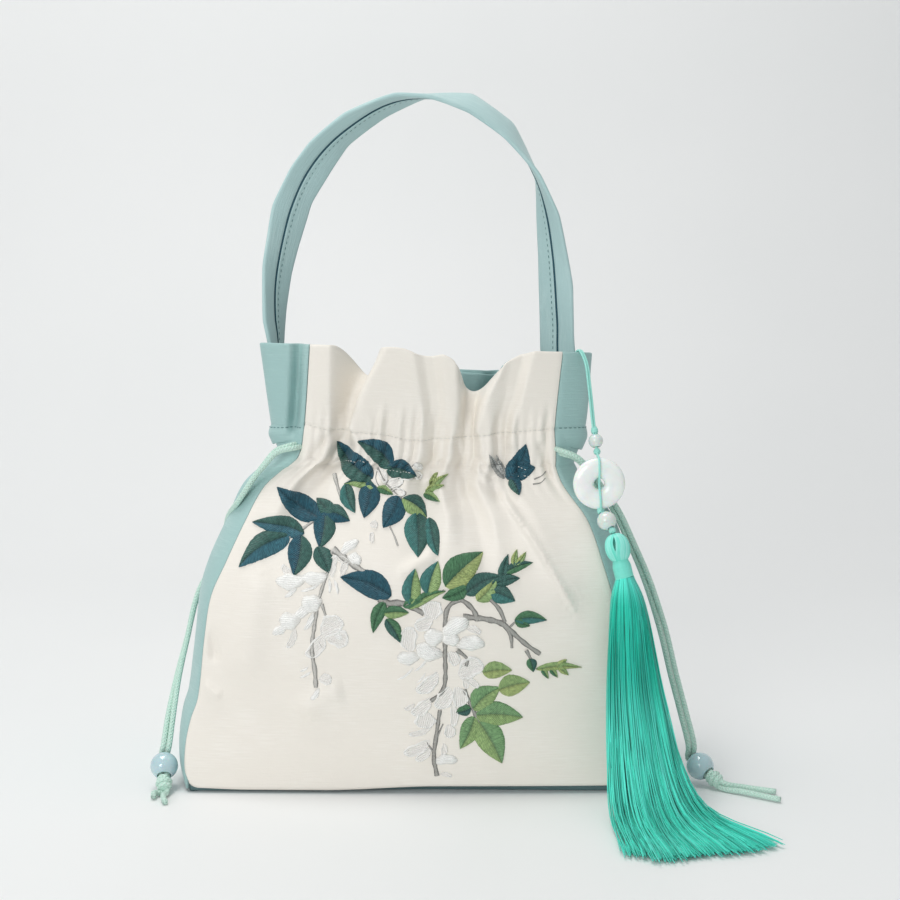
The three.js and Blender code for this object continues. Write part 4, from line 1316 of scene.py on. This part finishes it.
def leaf(builder, base, tip, width, bend, left, right):
    """Two padded halves either side of a midrib; left and right are as one looks from base to tip."""
    stroke = Stroke(base, tip, LEAF_LONGER, 0)
    u = np.linspace(0.0, 1.0, LEAF_ROWS)[:, None]
    s = np.linspace(0.0, 1.0, HALF_COLUMNS)[None, :]
    along = u * stroke.size
    swell = np.sin(np.pi * u**LEAF_BLUNT) ** LEAF_FULL
    half = s * swell * LEAF_WIDER * width / 2
    from_ridge = np.abs((s - RIDGE_AT) / (1 - RIDGE_AT)) ** RIDGE_POWER
    hump = 1 - np.where(s < RIDGE_AT, RIDGE_FALL, 1.0) * from_ridge
    crown = np.maximum(hump * np.minimum(0.35 + 2 * swell, 1), 0)
    hem = ease(6 * s - 5)
    height = mix(LEAF_FLOOR, LEAF_HEM, hem) + LEAF_HEIGHT * crown
    shade = 1 - RIB_SHADE * bell(s / RIB_WIDE) - EDGE_SHADE * hem
    for hand, tint in ((1, left), (-1, right)):
        ragged = EDGE_RAGGED * s**4 * random.uniform(-1, 1, (LEAF_ROWS, 1)) * np.minimum(4 * swell, 1)
        off = bend * stroke.size * np.sin(np.pi * u) + hand * (half + ragged)
        points = on_front(*stroke.at(along, off), height)
        faces = grid_faces(LEAF_ROWS, HALF_COLUMNS)
        if hand > 0:
            faces = flipped(faces)
        tints = shaded(tint, shade * random.uniform(0.86, 1.14, (LEAF_ROWS, 1)))
        builder.add(points, faces, coords(along - STITCH_SLANT * half, half), tints)


# Columns: base x and z, tip x and z, width, bend, left colour, right colour
LEAVES = [
    (-22.1, 155, -40.2, 171.8, 12, 0.08, DARK_GREEN, DEEP_TEAL),
    (-12.3, 160.2, -29.1, 172.3, 11, -0.12, DARK_GREEN, DEEP_TEAL),
    (-13.7, 158.8, 0.3, 155, 9.5, 0.1, DEEP_TEAL, DARK_GREEN),
    (-20.4, 149.9, -35.3, 151.7, 5.5, -0.12, LIGHT_GREEN, DARK_GREEN),
    (-34.3, 151.2, -29.5, 138.2, 7.5, -0.08, DARK_GREEN, SEA_GREEN),
    (-22, 151.7, -25.1, 135.9, 10.5, 0.03, DEEP_TEAL, DEEP_TEAL),
    (-18.5, 149.9, -11, 146.7, 4, 0.05, LIGHT_GREEN, LEAF_GREEN),
    (-8.5, 145.3, -15.7, 131.4, 11, 0.06, DEEP_TEAL, DEEP_TEAL),
    (-5.6, 144.8, 5.7, 135.7, 9, 0.06, DARK_GREEN, LIGHT_GREEN),
    (0.3, 137.3, 1.5, 117.8, 12.5, 0.02, DARK_GREEN, SEA_GREEN),
    (7.2, 134.8, 11.2, 118.3, 7.5, -0.04, DARK_GREEN, SEA_GREEN),
    (8.1, 147.8, 16, 156.3, 3, 0.1, YELLOW_GREEN, LIGHT_GREEN),
    (5.1, 147.7, 14, 150.8, 3, 0.08, YELLOW_GREEN, LIGHT_GREEN),
    (4.2, 146.3, 12.1, 143.3, 4, 0.05, LIGHT_GREEN, LEAF_GREEN),
    (7.1, 150.5, 11.1, 156.8, 2.6, 0.05, YELLOW_GREEN, YELLOW_GREEN),
    (-47.6, 135.6, -68.8, 149.8, 11.5, 0.05, DEEP_TEAL, DEEP_TEAL),
    (-40.5, 138.9, -49.1, 144.2, 7.5, 0.05, DARK_GREEN, DARK_GREEN),
    (-44.1, 138.5, -31.9, 134.5, 8.5, 0.08, DARK_GREEN, DEEP_TEAL),
    (-55.8, 128.1, -80.6, 133.1, 9.5, -0.05, SLATE_TEAL, DARK_GREEN),
    (-63, 125.9, -86.5, 111.7, 12, -0.1, SLATE_TEAL, DARK_GREEN),
    (-56.2, 126.2, -59, 108.3, 12, 0.05, DARK_GREEN, DEEP_TEAL),
    (-44.1, 137.2, -46.5, 121.5, 11, 0.03, DARK_GREEN, DEEP_TEAL),
    (-47.5, 121.5, -41.7, 110.1, 9, 0.05, DARK_GREEN, DARK_GREEN),
    (-12.5, 100, -36.3, 108.3, 12.5, -0.08, DEEP_TEAL, DEEP_TEAL),
    (-1.9, 96.2, 0, 112.8, 9, 0.03, SEA_GREEN, LIGHT_GREEN),
    (6.4, 101, 11.2, 116, 10, 0.04, SEA_GREEN, LIGHT_GREEN),
    (15.5, 104.7, 33.1, 119.7, 14.5, 0.04, LEAF_GREEN, YELLOW_GREEN),
    (25.2, 100.7, 42.7, 108.6, 9, 0.08, DARK_GREEN, DARK_GREEN),
    (30.6, 97.3, 39.8, 107.7, 8.5, -0.05, YELLOW_GREEN, LIGHT_GREEN),
    (36.9, 101.1, 48.6, 96.6, 9, 0.05, DARK_GREEN, SEA_GREEN),
    (42.7, 105.3, 45.3, 118.9, 5, 0.06, DARK_GREEN, DARK_GREEN),
    (44.2, 110.5, 57.5, 114.9, 5, 0.05, DARK_GREEN, LEAF_GREEN),
    (48.1, 113.2, 49.7, 121.1, 3.2, 0.05, YELLOW_GREEN, LIGHT_GREEN),
    (49.1, 113.7, 54.1, 120, 3, -0.05, YELLOW_GREEN, LIGHT_GREEN),
    (39.8, 105.3, 51, 107.5, 5.5, 0.05, DARK_GREEN, DARK_GREEN),
    (24.8, 103, 13.1, 98.5, 7.5, 0.06, LEAF_GREEN, LEAF_GREEN),
    (-1.9, 93.8, 15.1, 101.9, 5, 0.08, LEAF_GREEN, LIGHT_GREEN),
    (-14.9, 96.2, -20.3, 81.6, 6.5, -0.06, LEAF_GREEN, LEAF_GREEN),
    (-13.5, 88, -6.7, 76.7, 6.5, 0.05, LEAF_GREEN, DARK_GREEN),
    (-14.4, 91.3, -2.8, 91.4, 6.5, 0.05, LEAF_GREEN, LIGHT_GREEN),
    (-5.2, 94.7, 4.9, 97.6, 5, 0.05, LEAF_GREEN, LEAF_GREEN),
    (33.5, 62, 47.2, 62.8, 8.5, 0.05, LIGHT_GREEN, YELLOW_GREEN),
    (41.4, 53.3, 56, 56.6, 10.5, 0.04, LIGHT_GREEN, YELLOW_GREEN),
    (28.7, 43.8, 41.4, 54.3, 11.5, 0.08, MEADOW_GREEN, LIGHT_GREEN),
    (30.7, 40.1, 52.7, 38.8, 12.5, 0.05, MEADOW_GREEN, LIGHT_GREEN),
    (28.7, 38.6, 21.9, 23, 9.5, 0.05, LIGHT_GREEN, MEADOW_GREEN),
    (31.7, 36, 42.6, 15.5, 13.5, 0.03, MEADOW_GREEN, LIGHT_GREEN),
    (26.8, 43.8, 19.9, 41.8, 6, 0.05, DARK_GREEN, LEAF_GREEN),
    (49, 87.4, 64.2, 87, 6.5, 0.08, LEAF_GREEN, SEA_GREEN),
    (49, 87.4, 55.9, 84.4, 4.5, -0.05, LEAF_GREEN, LEAF_GREEN),
    (55.9, 68.1, 57.5, 61.6, 5, 0.05, DARK_GREEN, LEAF_GREEN),
    (59.9, 63, 81.6, 63.3, 4, 0.05, LIGHT_GREEN, YELLOW_GREEN),
    (62, 63.5, 65, 58, 3, 0, LIGHT_GREEN, LEAF_GREEN),
    (66, 63.5, 69.5, 58.5, 3, 0, LIGHT_GREEN, LEAF_GREEN),
    (70, 63.8, 75, 59.5, 3.2, 0, LIGHT_GREEN, YELLOW_GREEN),
    (69, 64, 74, 67.5, 3, 0, YELLOW_GREEN, LIGHT_GREEN),
    (46.3, 154.2, 54.8, 170.8, 10.5, -0.1, DEEP_TEAL, DEEP_TEAL),
    (47.8, 156.2, 59.3, 159, 9.5, 0.06, DEEP_TEAL, DEEP_TEAL),
    (47.7, 153.8, 51.1, 146.3, 6, 0.05, DEEP_TEAL, DARK_GREEN),
    (43.8, 154, 36.4, 165.9, 3.4, 0.05, STEM_GREY, PALE_GREY),
    (45.8, 155.1, 39.9, 165.2, 2.6, 0.05, PALE_GREY, STEM_GREY),
]

leaves = Builder()
for bx, bz, tx, tz, width, bend, left, right in LEAVES:
    leaf(leaves, (bx, bz), (tx, tz), width, bend, left, right)
leaves.build("embroidered_leaves", [silk_thread])

# Columns: width at the start and end, colour, then x and z pairs
STEMS = [
    (1.6, 1.5, PALE_GREY, (-44.6, 138), (-54.4, 130.8), (-63, 125.4)),
    (3.6, 3.2, PALE_GREY, (-40, 121.3), (-33, 116.3), (-24.7, 110.8)),
    (1.4, 2.6, PALE_GREY, (-40.5, 120.9), (-42.3, 111.1), (-46.1, 99.1), (-48.5, 86.1), (-50.1, 73.3),
     (-48.7, 61.8), (-48.3, 54.2)),
    (1.8, 1.4, PALE_GREY, (-45.1, 95.3), (-43.1, 89.1)),
    (4.2, 3.2, STEM_GREY, (-16.9, 98.5), (-13.5, 96.2), (-4.8, 95.7), (4.4, 91.1)),
    (0.9, 0.8, STEM_GREY, (-2.3, 95.2), (5.9, 98.1), (14.1, 102.4)),
    (0.8, 0.9, STEM_GREY, (-18.7, 159.2), (-14.1, 151.8), (-5.1, 143.4)),
    (0.8, 1.0, PALE_GREY, (-12.8, 132.8), (-10.3, 128.1), (-8.3, 123)),
    (2.6, 2.6, STEM_GREY, (14.6, 78.2), (16, 93.7), (21.8, 97.4), (28.6, 92.1), (30.1, 87.3)),
    (3.4, 2.4, STEM_GREY, (23.3, 89.3), (34, 88.2), (42.7, 85.6), (47.6, 81.1), (54.4, 75.1), (60.8, 70.5)),
    (2.8, 1.4, STEM_GREY, (43.7, 85.1), (46.6, 79.2), (47.1, 73.8)),
    (2.2, 2.2, STEM_GREY, (35.4, 98.7), (40.8, 92.9), (43.7, 86.6)),
    (1.2, 1.0, STEM_GREY, (46.1, 84.1), (49.5, 87.4)),
    (2.0, 1.5, STEM_GREY, (54, 72.6), (57.4, 66.1)),
    (2.6, 2.2, STEM_GREY, (14.6, 82.6), (14.6, 72.2), (13.6, 53.1), (7.7, 47.5)),
    (2.2, 1.8, STEM_GREY, (20.4, 73.2), (25.3, 68.6), (24.8, 65.1)),
    (2.2, 2.0, STEM_GREY, (23.8, 53.5), (27.7, 44.3), (31.7, 34.9)),
    (2.0, 2.6, STEM_GREY, (12.1, 42.8), (10.1, 28.3), (9.1, 18.8), (10.6, 9.2)),
    (1.2, 0.8, STEM_GREY, (10.6, 28.8), (13.6, 35.6)),
    (1.2, 0.8, STEM_GREY, (9.1, 20.9), (5.7, 26.2)),
    (0.7, 0.6, STEM_GREY, (58.7, 153.7), (62, 155), (64.7, 157)),
    (0.7, 0.6, STEM_GREY, (58.1, 151.4), (62, 152), (64.2, 154.1)),
    (0.6, 0.5, PALE_GREY, (50.5, 158), (55, 160.5)),
    (0.6, 0.5, PALE_GREY, (50, 156), (56, 157)),
    (0.6, 0.5, PALE_GREY, (49, 159), (52, 164)),
    (2.4, 1.4, PALE_GREY, (-40.4, 155.9), (-38.5, 150.5), (-36.6, 145.5)),
    (0.5, 0.5, STEM_GREY, (-18.8, 159), (-19.6, 154), (-17, 150.4), (-14.2, 151.6)),
    (0.5, 0.5, STEM_GREY, (-14.6, 152), (-10.5, 155.2), (-5.8, 153.4), (-8.5, 150.2), (-13.2, 150.4)),
    (0.5, 0.5, STEM_GREY, (-12.6, 147.6), (-8.4, 149.4), (-4.4, 147.6), (-7.4, 145.4)),
    (0.4, 0.4, PALE_GREY, (-3.4, 156.2), (-0.4, 158), (2.6, 156.4), (0.6, 154), (-2.6, 154.6)),
    (0.4, 0.4, PALE_GREY, (-2, 160), (0.8, 162), (3.4, 160), (1.4, 158.2)),
]
KNOB_SIZE = 0.16
STEM_STEP = 1.0
STEM_COLUMNS = 7
STEM_SUNK = -0.2
STEM_SLANT = 0.8


def stem(builder, start, end, tint, *route):
    """A padded line of stitches through x and z pairs, with painted shade along its edges."""
    line = even_line([(x, 0, z) for x, z in route], STEM_STEP)[:, (0, 2)]
    ahead = unit(np.gradient(line, axis=0))
    beside = np.stack([-ahead[:, 1], ahead[:, 0]], axis=1)
    knobs = 1 + KNOB_SIZE * np.sin(np.cumsum(random.uniform(0.2, 1.6, len(line))))
    width = (np.linspace(start, end, len(line)) * knobs)[:, None]
    s = np.linspace(-1, 1, STEM_COLUMNS)
    place = line[:, None] + beside[:, None] * (s * width / 2)[..., None]
    crown = (1 - s**2) ** 0.6 * np.minimum(0.35 + 0.3 * width, 0.95)
    points = on_front(place[..., 0], place[..., 1], STEM_SUNK + crown)
    run = STEM_STEP * np.arange(len(line))[:, None]
    edge = ease((np.abs(s) - 0.25) / 0.6)[:, None] * random.uniform(0.4, 1.0, (len(line), STEM_COLUMNS, 1))
    tints = mix(np.array(tint), np.array(STEM_EDGE_PAINTED_SHADE), edge)
    faces = flipped(grid_faces(len(line), STEM_COLUMNS))
    builder.add(points, faces, coords(run + STEM_SLANT * s, s), tints)


stems = Builder()
for row in STEMS:
    stem(stems, *row)
stems.build("embroidered_stems", [stem_thread])

# White blossoms. Columns: base x and z, tip x and z, width, and 1 where the padding is high
PETALS = [
    (14, 80.5, 5, 80, 7.5, 1), (13, 78.5, 21, 78, 6.5, 1), (14, 79, 25, 87.5, 7.5, 1),
    (20.5, 75, 33, 76, 6.5, 1), (24.5, 84, 31.5, 81.5, 3, 0), (13, 71, 1.5, 75, 7.5, 1),
    (-2, 73, -2.5, 84, 7.5, 0), (2, 70.5, -8, 69.5, 6, 1), (8.5, 88.5, 9.5, 96.5, 8.5, 0),
    (8, 89, 0.5, 84.5, 6, 0), (22, 60, 32, 66.5, 9, 0), (22.5, 59, 30.5, 54.5, 3, 0),
    (23.5, 58.5, 25, 54, 2.5, 0), (16.5, 72, 20, 66, 5, 0), (-1, 64.5, -8.5, 58.5, 1.2, 1),
    (6, 69.5, 0, 63, 1.3, 1), (10.5, 61.5, 1.5, 52.5, 6, 0), (5, 62, 1, 57, 1, 1),
    (10.5, 62, 7, 59, 1, 1), (7, 48.5, -1, 41, 5.5, 0), (16.5, 54, 11, 44.5, 7, 0),
    (20, 54, 22, 45, 7, 0), (4.5, 41.5, 4, 34, 9, 0), (18, 45.5, 18.5, 35, 3.5, 0),
    (7.5, 34, -2.5, 30.5, 2.5, 0), (16.5, 35, 16.5, 29, 5, 0), (6.5, 27, -5, 21, 5, 0),
    (7.5, 23.5, 0.5, 17.5, 3.5, 0), (14, 25.5, 13.5, 20, 2.6, 0), (9, 16, 20, 17, 4.6, 1),
    (12, 10, 17.5, 9, 1.8, 0), (-0.5, 46, -5, 43.5, 2, 0), (-53.5, 107.5, -67, 106, 6.5, 1),
    (-42.5, 109, -54.5, 108, 5.5, 1), (-59, 108, -64.5, 113, 3, 0), (-57.5, 104, -63, 98.5, 2.2, 1),
    (-45.5, 106, -55, 101.5, 1.6, 1), (-42, 107.5, -41.5, 101, 1.5, 1),
    (-39.5, 107, -37.5, 100.5, 1.6, 1), (-40, 108.5, -38.5, 118, 3.5, 0), (-35, 109, -33, 115.5, 3, 0),
    (-45.5, 97.5, -54.5, 95, 7.5, 1), (-52, 95.5, -57.5, 89, 4.5, 1), (-49.5, 91.5, -53.5, 83, 2.7, 1),
    (-56, 88, -65.5, 87, 7.5, 1), (-62, 86.5, -69, 80.5, 4, 1), (-58.5, 83, -62, 74, 3, 0),
    (-44.5, 80.5, -36, 87.5, 9, 0), (-42.5, 79.5, -33, 77, 8, 0), (-39, 80.5, -35.5, 78.5, 2.7, 1),
    (-44.5, 80.5, -52, 70, 6.2, 0), (-46.5, 77, -44, 74, 3, 0), (-52, 64.5, -56, 62, 1.2, 1),
    (-50.5, 62.5, -56, 59, 1.2, 1), (-46.5, 58.5, -41, 57.5, 4.7, 0), (-47, 54, -50.5, 48.5, 2.5, 1),
    (-36, 118.5, -28, 125, 4.2, 1), (-33, 117.5, -26.5, 115.5, 5, 1), (-38, 117, -32.5, 114.5, 3, 0),
    (-22, 133, -18.5, 132.5, 3, 0), (-20.5, 124.5, -21, 129, 2.2, 0), (-19, 159, -15, 152.5, 3.2, 0),
    (-14, 150, -6.5, 153, 4, 0), (-12.5, 147, -5.5, 147.5, 3.6, 0), (-8.5, 154.5, -2, 154.5, 2.6, 0),
    (-1.5, 156.5, 2.5, 154, 3, 0), (-1, 161, 3, 158.5, 2.8, 1),
]
PETAL_ROWS = 20
PETAL_COLUMNS = 17
HIGH_PADDING = 2.4
LOW_PADDING = 1.25
PETAL_SUNK = -0.25
PETAL_FLOOR = 0.3
PETAL_WAVE = 0.09
PETAL_LUMP = 0.2
PETAL_BEND = 0.08
PETAL_WIDER = 1.25
PETAL_LONGER = 0.1
PETAL_SLANT = 0.15
# The raised edge of a low petal: place and half width at its sides and at its tip
SIDE_EDGE = 0.8
SIDE_EDGE_HALF = 0.22
TIP_EDGE = 0.92
TIP_EDGE_HALF = 0.1
# A petal at least this long has its full waves
WAVY_SIZE = 8


def petal(builder, base, tip, width, high):
    """A padded petal with wavy edges; a low one is hollow inside a raised edge."""
    stroke = Stroke(base, tip, PETAL_LONGER, PETAL_LONGER)
    u = np.linspace(0, 1, PETAL_ROWS)[:, None]
    s = np.linspace(-1, 1, PETAL_COLUMNS)[None, :]
    phases = random.uniform(0, 2 * np.pi, 4)
    waves = np.where(s < 0, np.sin(13 * u + phases[0]), np.sin(15 * u + phases[1]))
    swell = np.sin(np.pi * u**1.2) ** 0.55 * (1 + PETAL_WAVE * waves * min(stroke.size / WAVY_SIZE, 1))
    full = np.minimum(swell * 1.2, 1)
    along = u * stroke.size
    off = s * swell * PETAL_WIDER * width / 2 + PETAL_BEND * stroke.size * np.sin(np.pi * u)
    crown = (1 - np.abs(s) ** 3) ** 0.7 * full * (0.7 + 0.3 * u)
    crown = crown * (1 + PETAL_LUMP * np.sin(7 * u + phases[2]) * np.cos(3 * s + phases[3]))
    if high:
        height = min(HIGH_PADDING, 0.5 + 0.25 * width)
        # Painted shade where a high petal's padding is low; its own white on the crown.
        hollow = PETAL_SHADE
        bright = clamp01(1.5 * crown - 0.15)
    else:
        height = LOW_PADDING
        hollow = PETAL_PALE
        side_edge = bump((np.abs(s) - SIDE_EDGE) / SIDE_EDGE_HALF)
        bright = np.maximum(side_edge, bump((u - TIP_EDGE) / TIP_EDGE_HALF))
        crown = np.minimum(crown, PETAL_FLOOR) + (1 - PETAL_FLOOR) * bright * full
    points = on_front(*stroke.at(along, off), PETAL_SUNK + height * crown)
    tints = mix(np.array(hollow), np.array(PETAL_WHITE), bright[..., None])
    tints = tints * random.uniform(0.94, 1.02, (*off.shape, 1))
    faces = flipped(grid_faces(PETAL_ROWS, PETAL_COLUMNS))
    builder.add(points, faces, coords(off + PETAL_SLANT * along, along), tints)


blossoms = Builder()
for base_x, base_z, tip_x, tip_z, width, high in PETALS:
    petal(blossoms, (base_x, base_z), (tip_x, tip_z), width, high)
blossoms.build("embroidered_blossoms", [white_thread])

# The channel's lower seam where it shows white over the leaves, as x and z pairs
WHITE_RUNS = [
    [(-35.2, 161.6), (-30, 162), (-24.3, 162)], [(-15, 158.4), (-8.5, 157.2), (-1.7, 156.8)],
    [(49.6, 154.4), (53.5, 154.8), (58, 154.4)], [(51, 159.4), (53, 158.6), (55, 157.6)],
]
OVER_LEAF = 0.85
STITCH_WHITE = linear(246, 246, 242)
white_stitches = Builder()
for run in WHITE_RUNS:
    flat = even_line([(x, 0, z) for x, z in run], 0.5)
    line = on_front(flat[:, 0], flat[:, 2], OVER_LEAF)
    normals = np.tile((0.0, -1.0, 0.0), (len(line), 1))
    add_stitches(white_stitches, line, normals, dash=1.2, gap=0.7, radius=0.22, tint=STITCH_WHITE)
white_stitches.build("white_stitches", [stitch_thread])


# Tassel: a knotted head, a bound neck and a silk fringe that meets the floor

HEAD_MIDDLE = np.array((98.7, -46.6, 121.7))
HEAD_RADIUS = 5.6
NECK_TOP = np.array((100, -47.5, 115.6))
NECK_FOOT = np.array((102.1, -49, 107.2))
NECK_RADIUS = 4.3
SILK_CORE_PAINTED_SHADE = linear(4, 92, 78)
SILK_DARK = linear(4, 142, 120)
SILK = linear(16, 214, 186)
# Colour of the strands' painted highlight
SILK_HIGHLIGHT = linear(104, 246, 226)
SILK_PALE = linear(164, 240, 228)
HEAD_STRANDS = 46
HEAD_TALL = 6.9
HEAD_STRAND = 0.47
HEAD_TWIST = 0.35
SLIT_HALF = 0.2
SLIT_AT = 0.36
SLIT_FACING = (-0.12, -1.0, 0.0)
NECK_TURNS = 15
NECK_SWELL = 0.35
NECK_WRAP = 0.36

neck_axis = unit(NECK_FOOT - NECK_TOP)
neck_side = unit(np.cross(neck_axis, (0, 1, 0.2)))
neck_over = np.cross(neck_axis, neck_side)


def about_neck(middle, height, reach, angle):
    """Points about the neck's axis."""
    return (middle + height[:, None] * neck_axis + (reach * np.cos(angle))[:, None] * neck_side
            + (reach * np.sin(angle))[:, None] * neck_over)


slit_middle = math.atan2(np.dot(SLIT_FACING, neck_over), np.dot(SLIT_FACING, neck_side))
tassel_top = Builder()
for k in range(HEAD_STRANDS):
    t = np.linspace(0.05, 1, 24)
    polar = np.pi * t
    opening = SLIT_HALF * bump((t - SLIT_AT) / SLIT_AT)
    angle = slit_middle + mix(opening, 2 * np.pi - opening, k / (HEAD_STRANDS - 1)) + HEAD_TWIST * t
    reach = (HEAD_RADIUS + random.uniform(-0.12, 0.12)) * np.sin(polar) ** 0.8
    line = about_neck(HEAD_MIDDLE, -HEAD_TALL * np.cos(polar), reach, angle)
    tint = mix(np.array(SILK), np.array(SILK_PALE), random.uniform(0.3, 1.0))
    add_tube(tassel_top, line, HEAD_STRAND, 6, tint)
# The head's core is painted in dark silk: painted shade that shows through the slit between the strands.
core = np.linspace(0.1, np.pi - 0.1, 14)
core_profile = [((HEAD_RADIUS - 0.5) * math.sin(a) ** 0.8, -(HEAD_TALL - 0.3) * math.cos(a)) for a in core]
add_turned(tassel_top, core_profile, HEAD_MIDDLE, neck_axis, 24, SILK_CORE_PAINTED_SHADE)
turns = np.linspace(0, 1, 24 * NECK_TURNS)
neck_length = float(np.linalg.norm(NECK_FOOT - NECK_TOP))
neck_reach = NECK_RADIUS * mix(0.86, 1, ease(turns / NECK_SWELL))
wraps = about_neck(NECK_TOP, turns * neck_length, neck_reach, 2 * np.pi * NECK_TURNS * turns)
add_tube(tassel_top, wraps, NECK_WRAP, 6, mix(np.array(SILK), np.array(SILK_PALE), 0.6))
neck_profile = np.array([(0, 0), (0.85, 0), (1, NECK_SWELL), (1, 1), (0, 1)]) * (NECK_RADIUS, neck_length)
add_turned(tassel_top, neck_profile, NECK_TOP, neck_axis, 24, SILK_DARK)
tassel_top.build("tassel_head", [fringe_silk])

# Columns: x and y where a lock leaves the neck, hangs, meets the floor and ends
LOCKS = np.array([
    (-2.5, -1, 94, -64, 93.5, -92, 96, -136), (-1.5, -2.5, 99, -68, 100.5, -99, 105, -143),
    (0, -3, 104.5, -70, 108, -102, 115, -143), (1.5, -2.5, 110.5, -69, 116.5, -100, 127, -138),
    (2.5, -1.5, 115.5, -66, 124.5, -96, 140, -136), (3, 0, 119, -63, 131, -91, 152, -132),
    (3, 1.5, 118.5, -60, 132, -85, 162, -126), (1.5, 2.5, 112, -58, 121, -82, 144, -117),
    (-0.5, 2.5, 104, -57, 109, -82, 121, -119), (-2.5, 1.5, 96.5, -58, 98, -82, 105, -119),
])
LOCK_SHOULDER = 96
LOCK_MID = 50
LOCK_FOOT = 7.5
LOCK_TIP = 1.8
STRANDS = 1250
STRAND_POINTS = 24
STRAND_RADIUS = 0.33
STRAND_TAPER = 0.5
# How far strands spread about the locks, and how much higher than the lowest the others lie
FRINGE_REACH = 1.12
JITTER = 0.7
TIP_JITTER = 2.2
ROOT_SPREAD = 1.25
SHOULDER_SPREAD = np.array((2.6, 2.2))
SHOULDER_SHIFT = np.array((1, -2))
FOOT_LEVELS = 2.2
TIP_LEVELS = 0.9
TIP_LOWEST = 0.6
FLOOR_CLEAR = 0.5
# Painted highlight along a strand: how much lighter the silk is painted, most near the neck and where the
# strands bend down to the floor. Columns: share of its length, lightness
STRAND_PAINTED_HIGHLIGHT = np.array([
    (0, 1), (0.12, 0.7), (0.25, 0.2), (0.42, 0.1), (0.55, 0.8), (0.66, 1), (0.78, 0.7), (1, 0.8),
])
lock_middle = LOCKS.mean(axis=0)
fringe = Builder()
for i in range(STRANDS):
    at = random.uniform(0, len(LOCKS))
    first = int(at) % len(LOCKS)
    edge = mix(LOCKS[first], LOCKS[(first + 1) % len(LOCKS)], at - int(at))
    reach = random.uniform(0, 1) ** 0.4 * FRINGE_REACH
    row = lock_middle + reach * (edge - lock_middle)
    jitter = random.normal(0, JITTER, 6)
    level = random.uniform(-0.35, 1.0)
    points = [
        (*(NECK_FOOT[:2] + ROOT_SPREAD * row[:2]), NECK_FOOT[2] + 1),
        (*(NECK_FOOT[:2] + SHOULDER_SPREAD * row[:2] + SHOULDER_SHIFT), LOCK_SHOULDER),
        (*(row[2:4] + jitter[:2]), LOCK_MID),
        (*(row[4:6] + jitter[2:4]), LOCK_FOOT + FOOT_LEVELS * level),
        (*(row[6:] + TIP_JITTER * jitter[4:]), max(LOCK_TIP + TIP_LEVELS * level, TIP_LOWEST)),
    ]
    line = smooth_line(points, STRAND_POINTS)
    line[:, 2] = np.maximum(line[:, 2], FLOOR_CLEAR)
    share = np.linspace(0, 1, STRAND_POINTS)[:, None]
    shade = random.uniform(0, 1)
    own = mix(np.array(SILK_DARK), np.array(SILK), shade)
    painted_highlight = np.interp(share, STRAND_PAINTED_HIGHLIGHT[:, 0], STRAND_PAINTED_HIGHLIGHT[:, 1]) * mix(0.4, 1.3, shade)
    tint = mix(own, np.array(SILK_HIGHLIGHT), clamp01(painted_highlight))
    radius = np.full(STRAND_POINTS, STRAND_RADIUS)
    radius[-1] = STRAND_RADIUS * STRAND_TAPER
    add_tube(fringe, line, radius, 4, tint, closed=False)
fringe.build("tassel_fringe", [fringe_silk], ["tassel"])


# Floor, backdrop and light

STAGE_WHITE = linear(239, 240, 240)
STAGE_SHADE = linear(233, 235, 235)
STAGE_CLOUD = 3.0
STAGE_HALF = 2.5
STAGE_FRONT = -2.2
STAGE_BEND = 0.5
STAGE_TOP = 2.4
# Columns: name, place, aim, size, power, colour
LIGHTS = [
    ("key", (-0.35, 0.0, 1.6), (0, 0, 0.1), 0.8, 11.5, (1.0, 0.985, 0.965)),
    ("front", (-0.75, -1.8, 0.7), (0, 0, 0.15), 0.95, 13.2, (1.0, 0.995, 0.99)),
]
ROOM_COLOR = (0.97, 0.985, 1.0, 1)
ROOM_STRENGTH = 0.47


def stage_sheet():
    """A floor that sweeps up into the backdrop."""
    bend = [(STAGE_BEND + STAGE_BEND * math.sin(a), STAGE_BEND - STAGE_BEND * math.cos(a))
            for a in np.linspace(0, math.pi / 2, 16)]
    profile = [(STAGE_FRONT, 0.0), *bend, (2 * STAGE_BEND, STAGE_TOP)]
    points = [(x, y, z) for y, z in profile for x in (-STAGE_HALF, STAGE_HALF)]
    faces = [[2 * i, 2 * i + 1, 2 * i + 3, 2 * i + 2] for i in range(len(profile) - 1)]
    mesh = bpy.data.meshes.new("floor_sweep")
    mesh.from_pydata(points, [], faces)
    mesh.polygons.foreach_set("use_smooth", [True] * len(faces))
    look = Look("floor_paper", STAGE_WHITE, 0.55, specular_ior_level=0.3)
    look.color(look.blend(STAGE_WHITE, STAGE_SHADE, look.noise(look.in_space(), STAGE_CLOUD)))
    mesh.materials.append(look.material)
    sheet = bpy.data.objects.new("floor_sweep", mesh)
    bpy.context.scene.collection.objects.link(sheet)


def area_light(name, place, aim, size, power, color):
    data = bpy.data.lights.new(name, "AREA")
    data.shape = "DISK"
    data.size = size
    data.energy = power
    data.color = color
    light = bpy.data.objects.new(name, data)
    light.location = place
    away = np.array(place) - np.array(aim)
    yaw = math.atan2(away[0], -away[1])
    tilt = math.atan2(math.hypot(away[0], away[1]), away[2])
    light.rotation_euler = (tilt, 0, yaw)
    bpy.context.scene.collection.objects.link(light)


stage_sheet()
for row in LIGHTS:
    area_light(*row)

world = bpy.data.worlds.new("soft_room")
world.use_nodes = True
background = world.node_tree.nodes["Background"]
background.inputs["Color"].default_value = ROOM_COLOR
background.inputs["Strength"].default_value = ROOM_STRENGTH
bpy.context.scene.world = world
bpy.context.scene.view_settings.view_transform = "Standard"
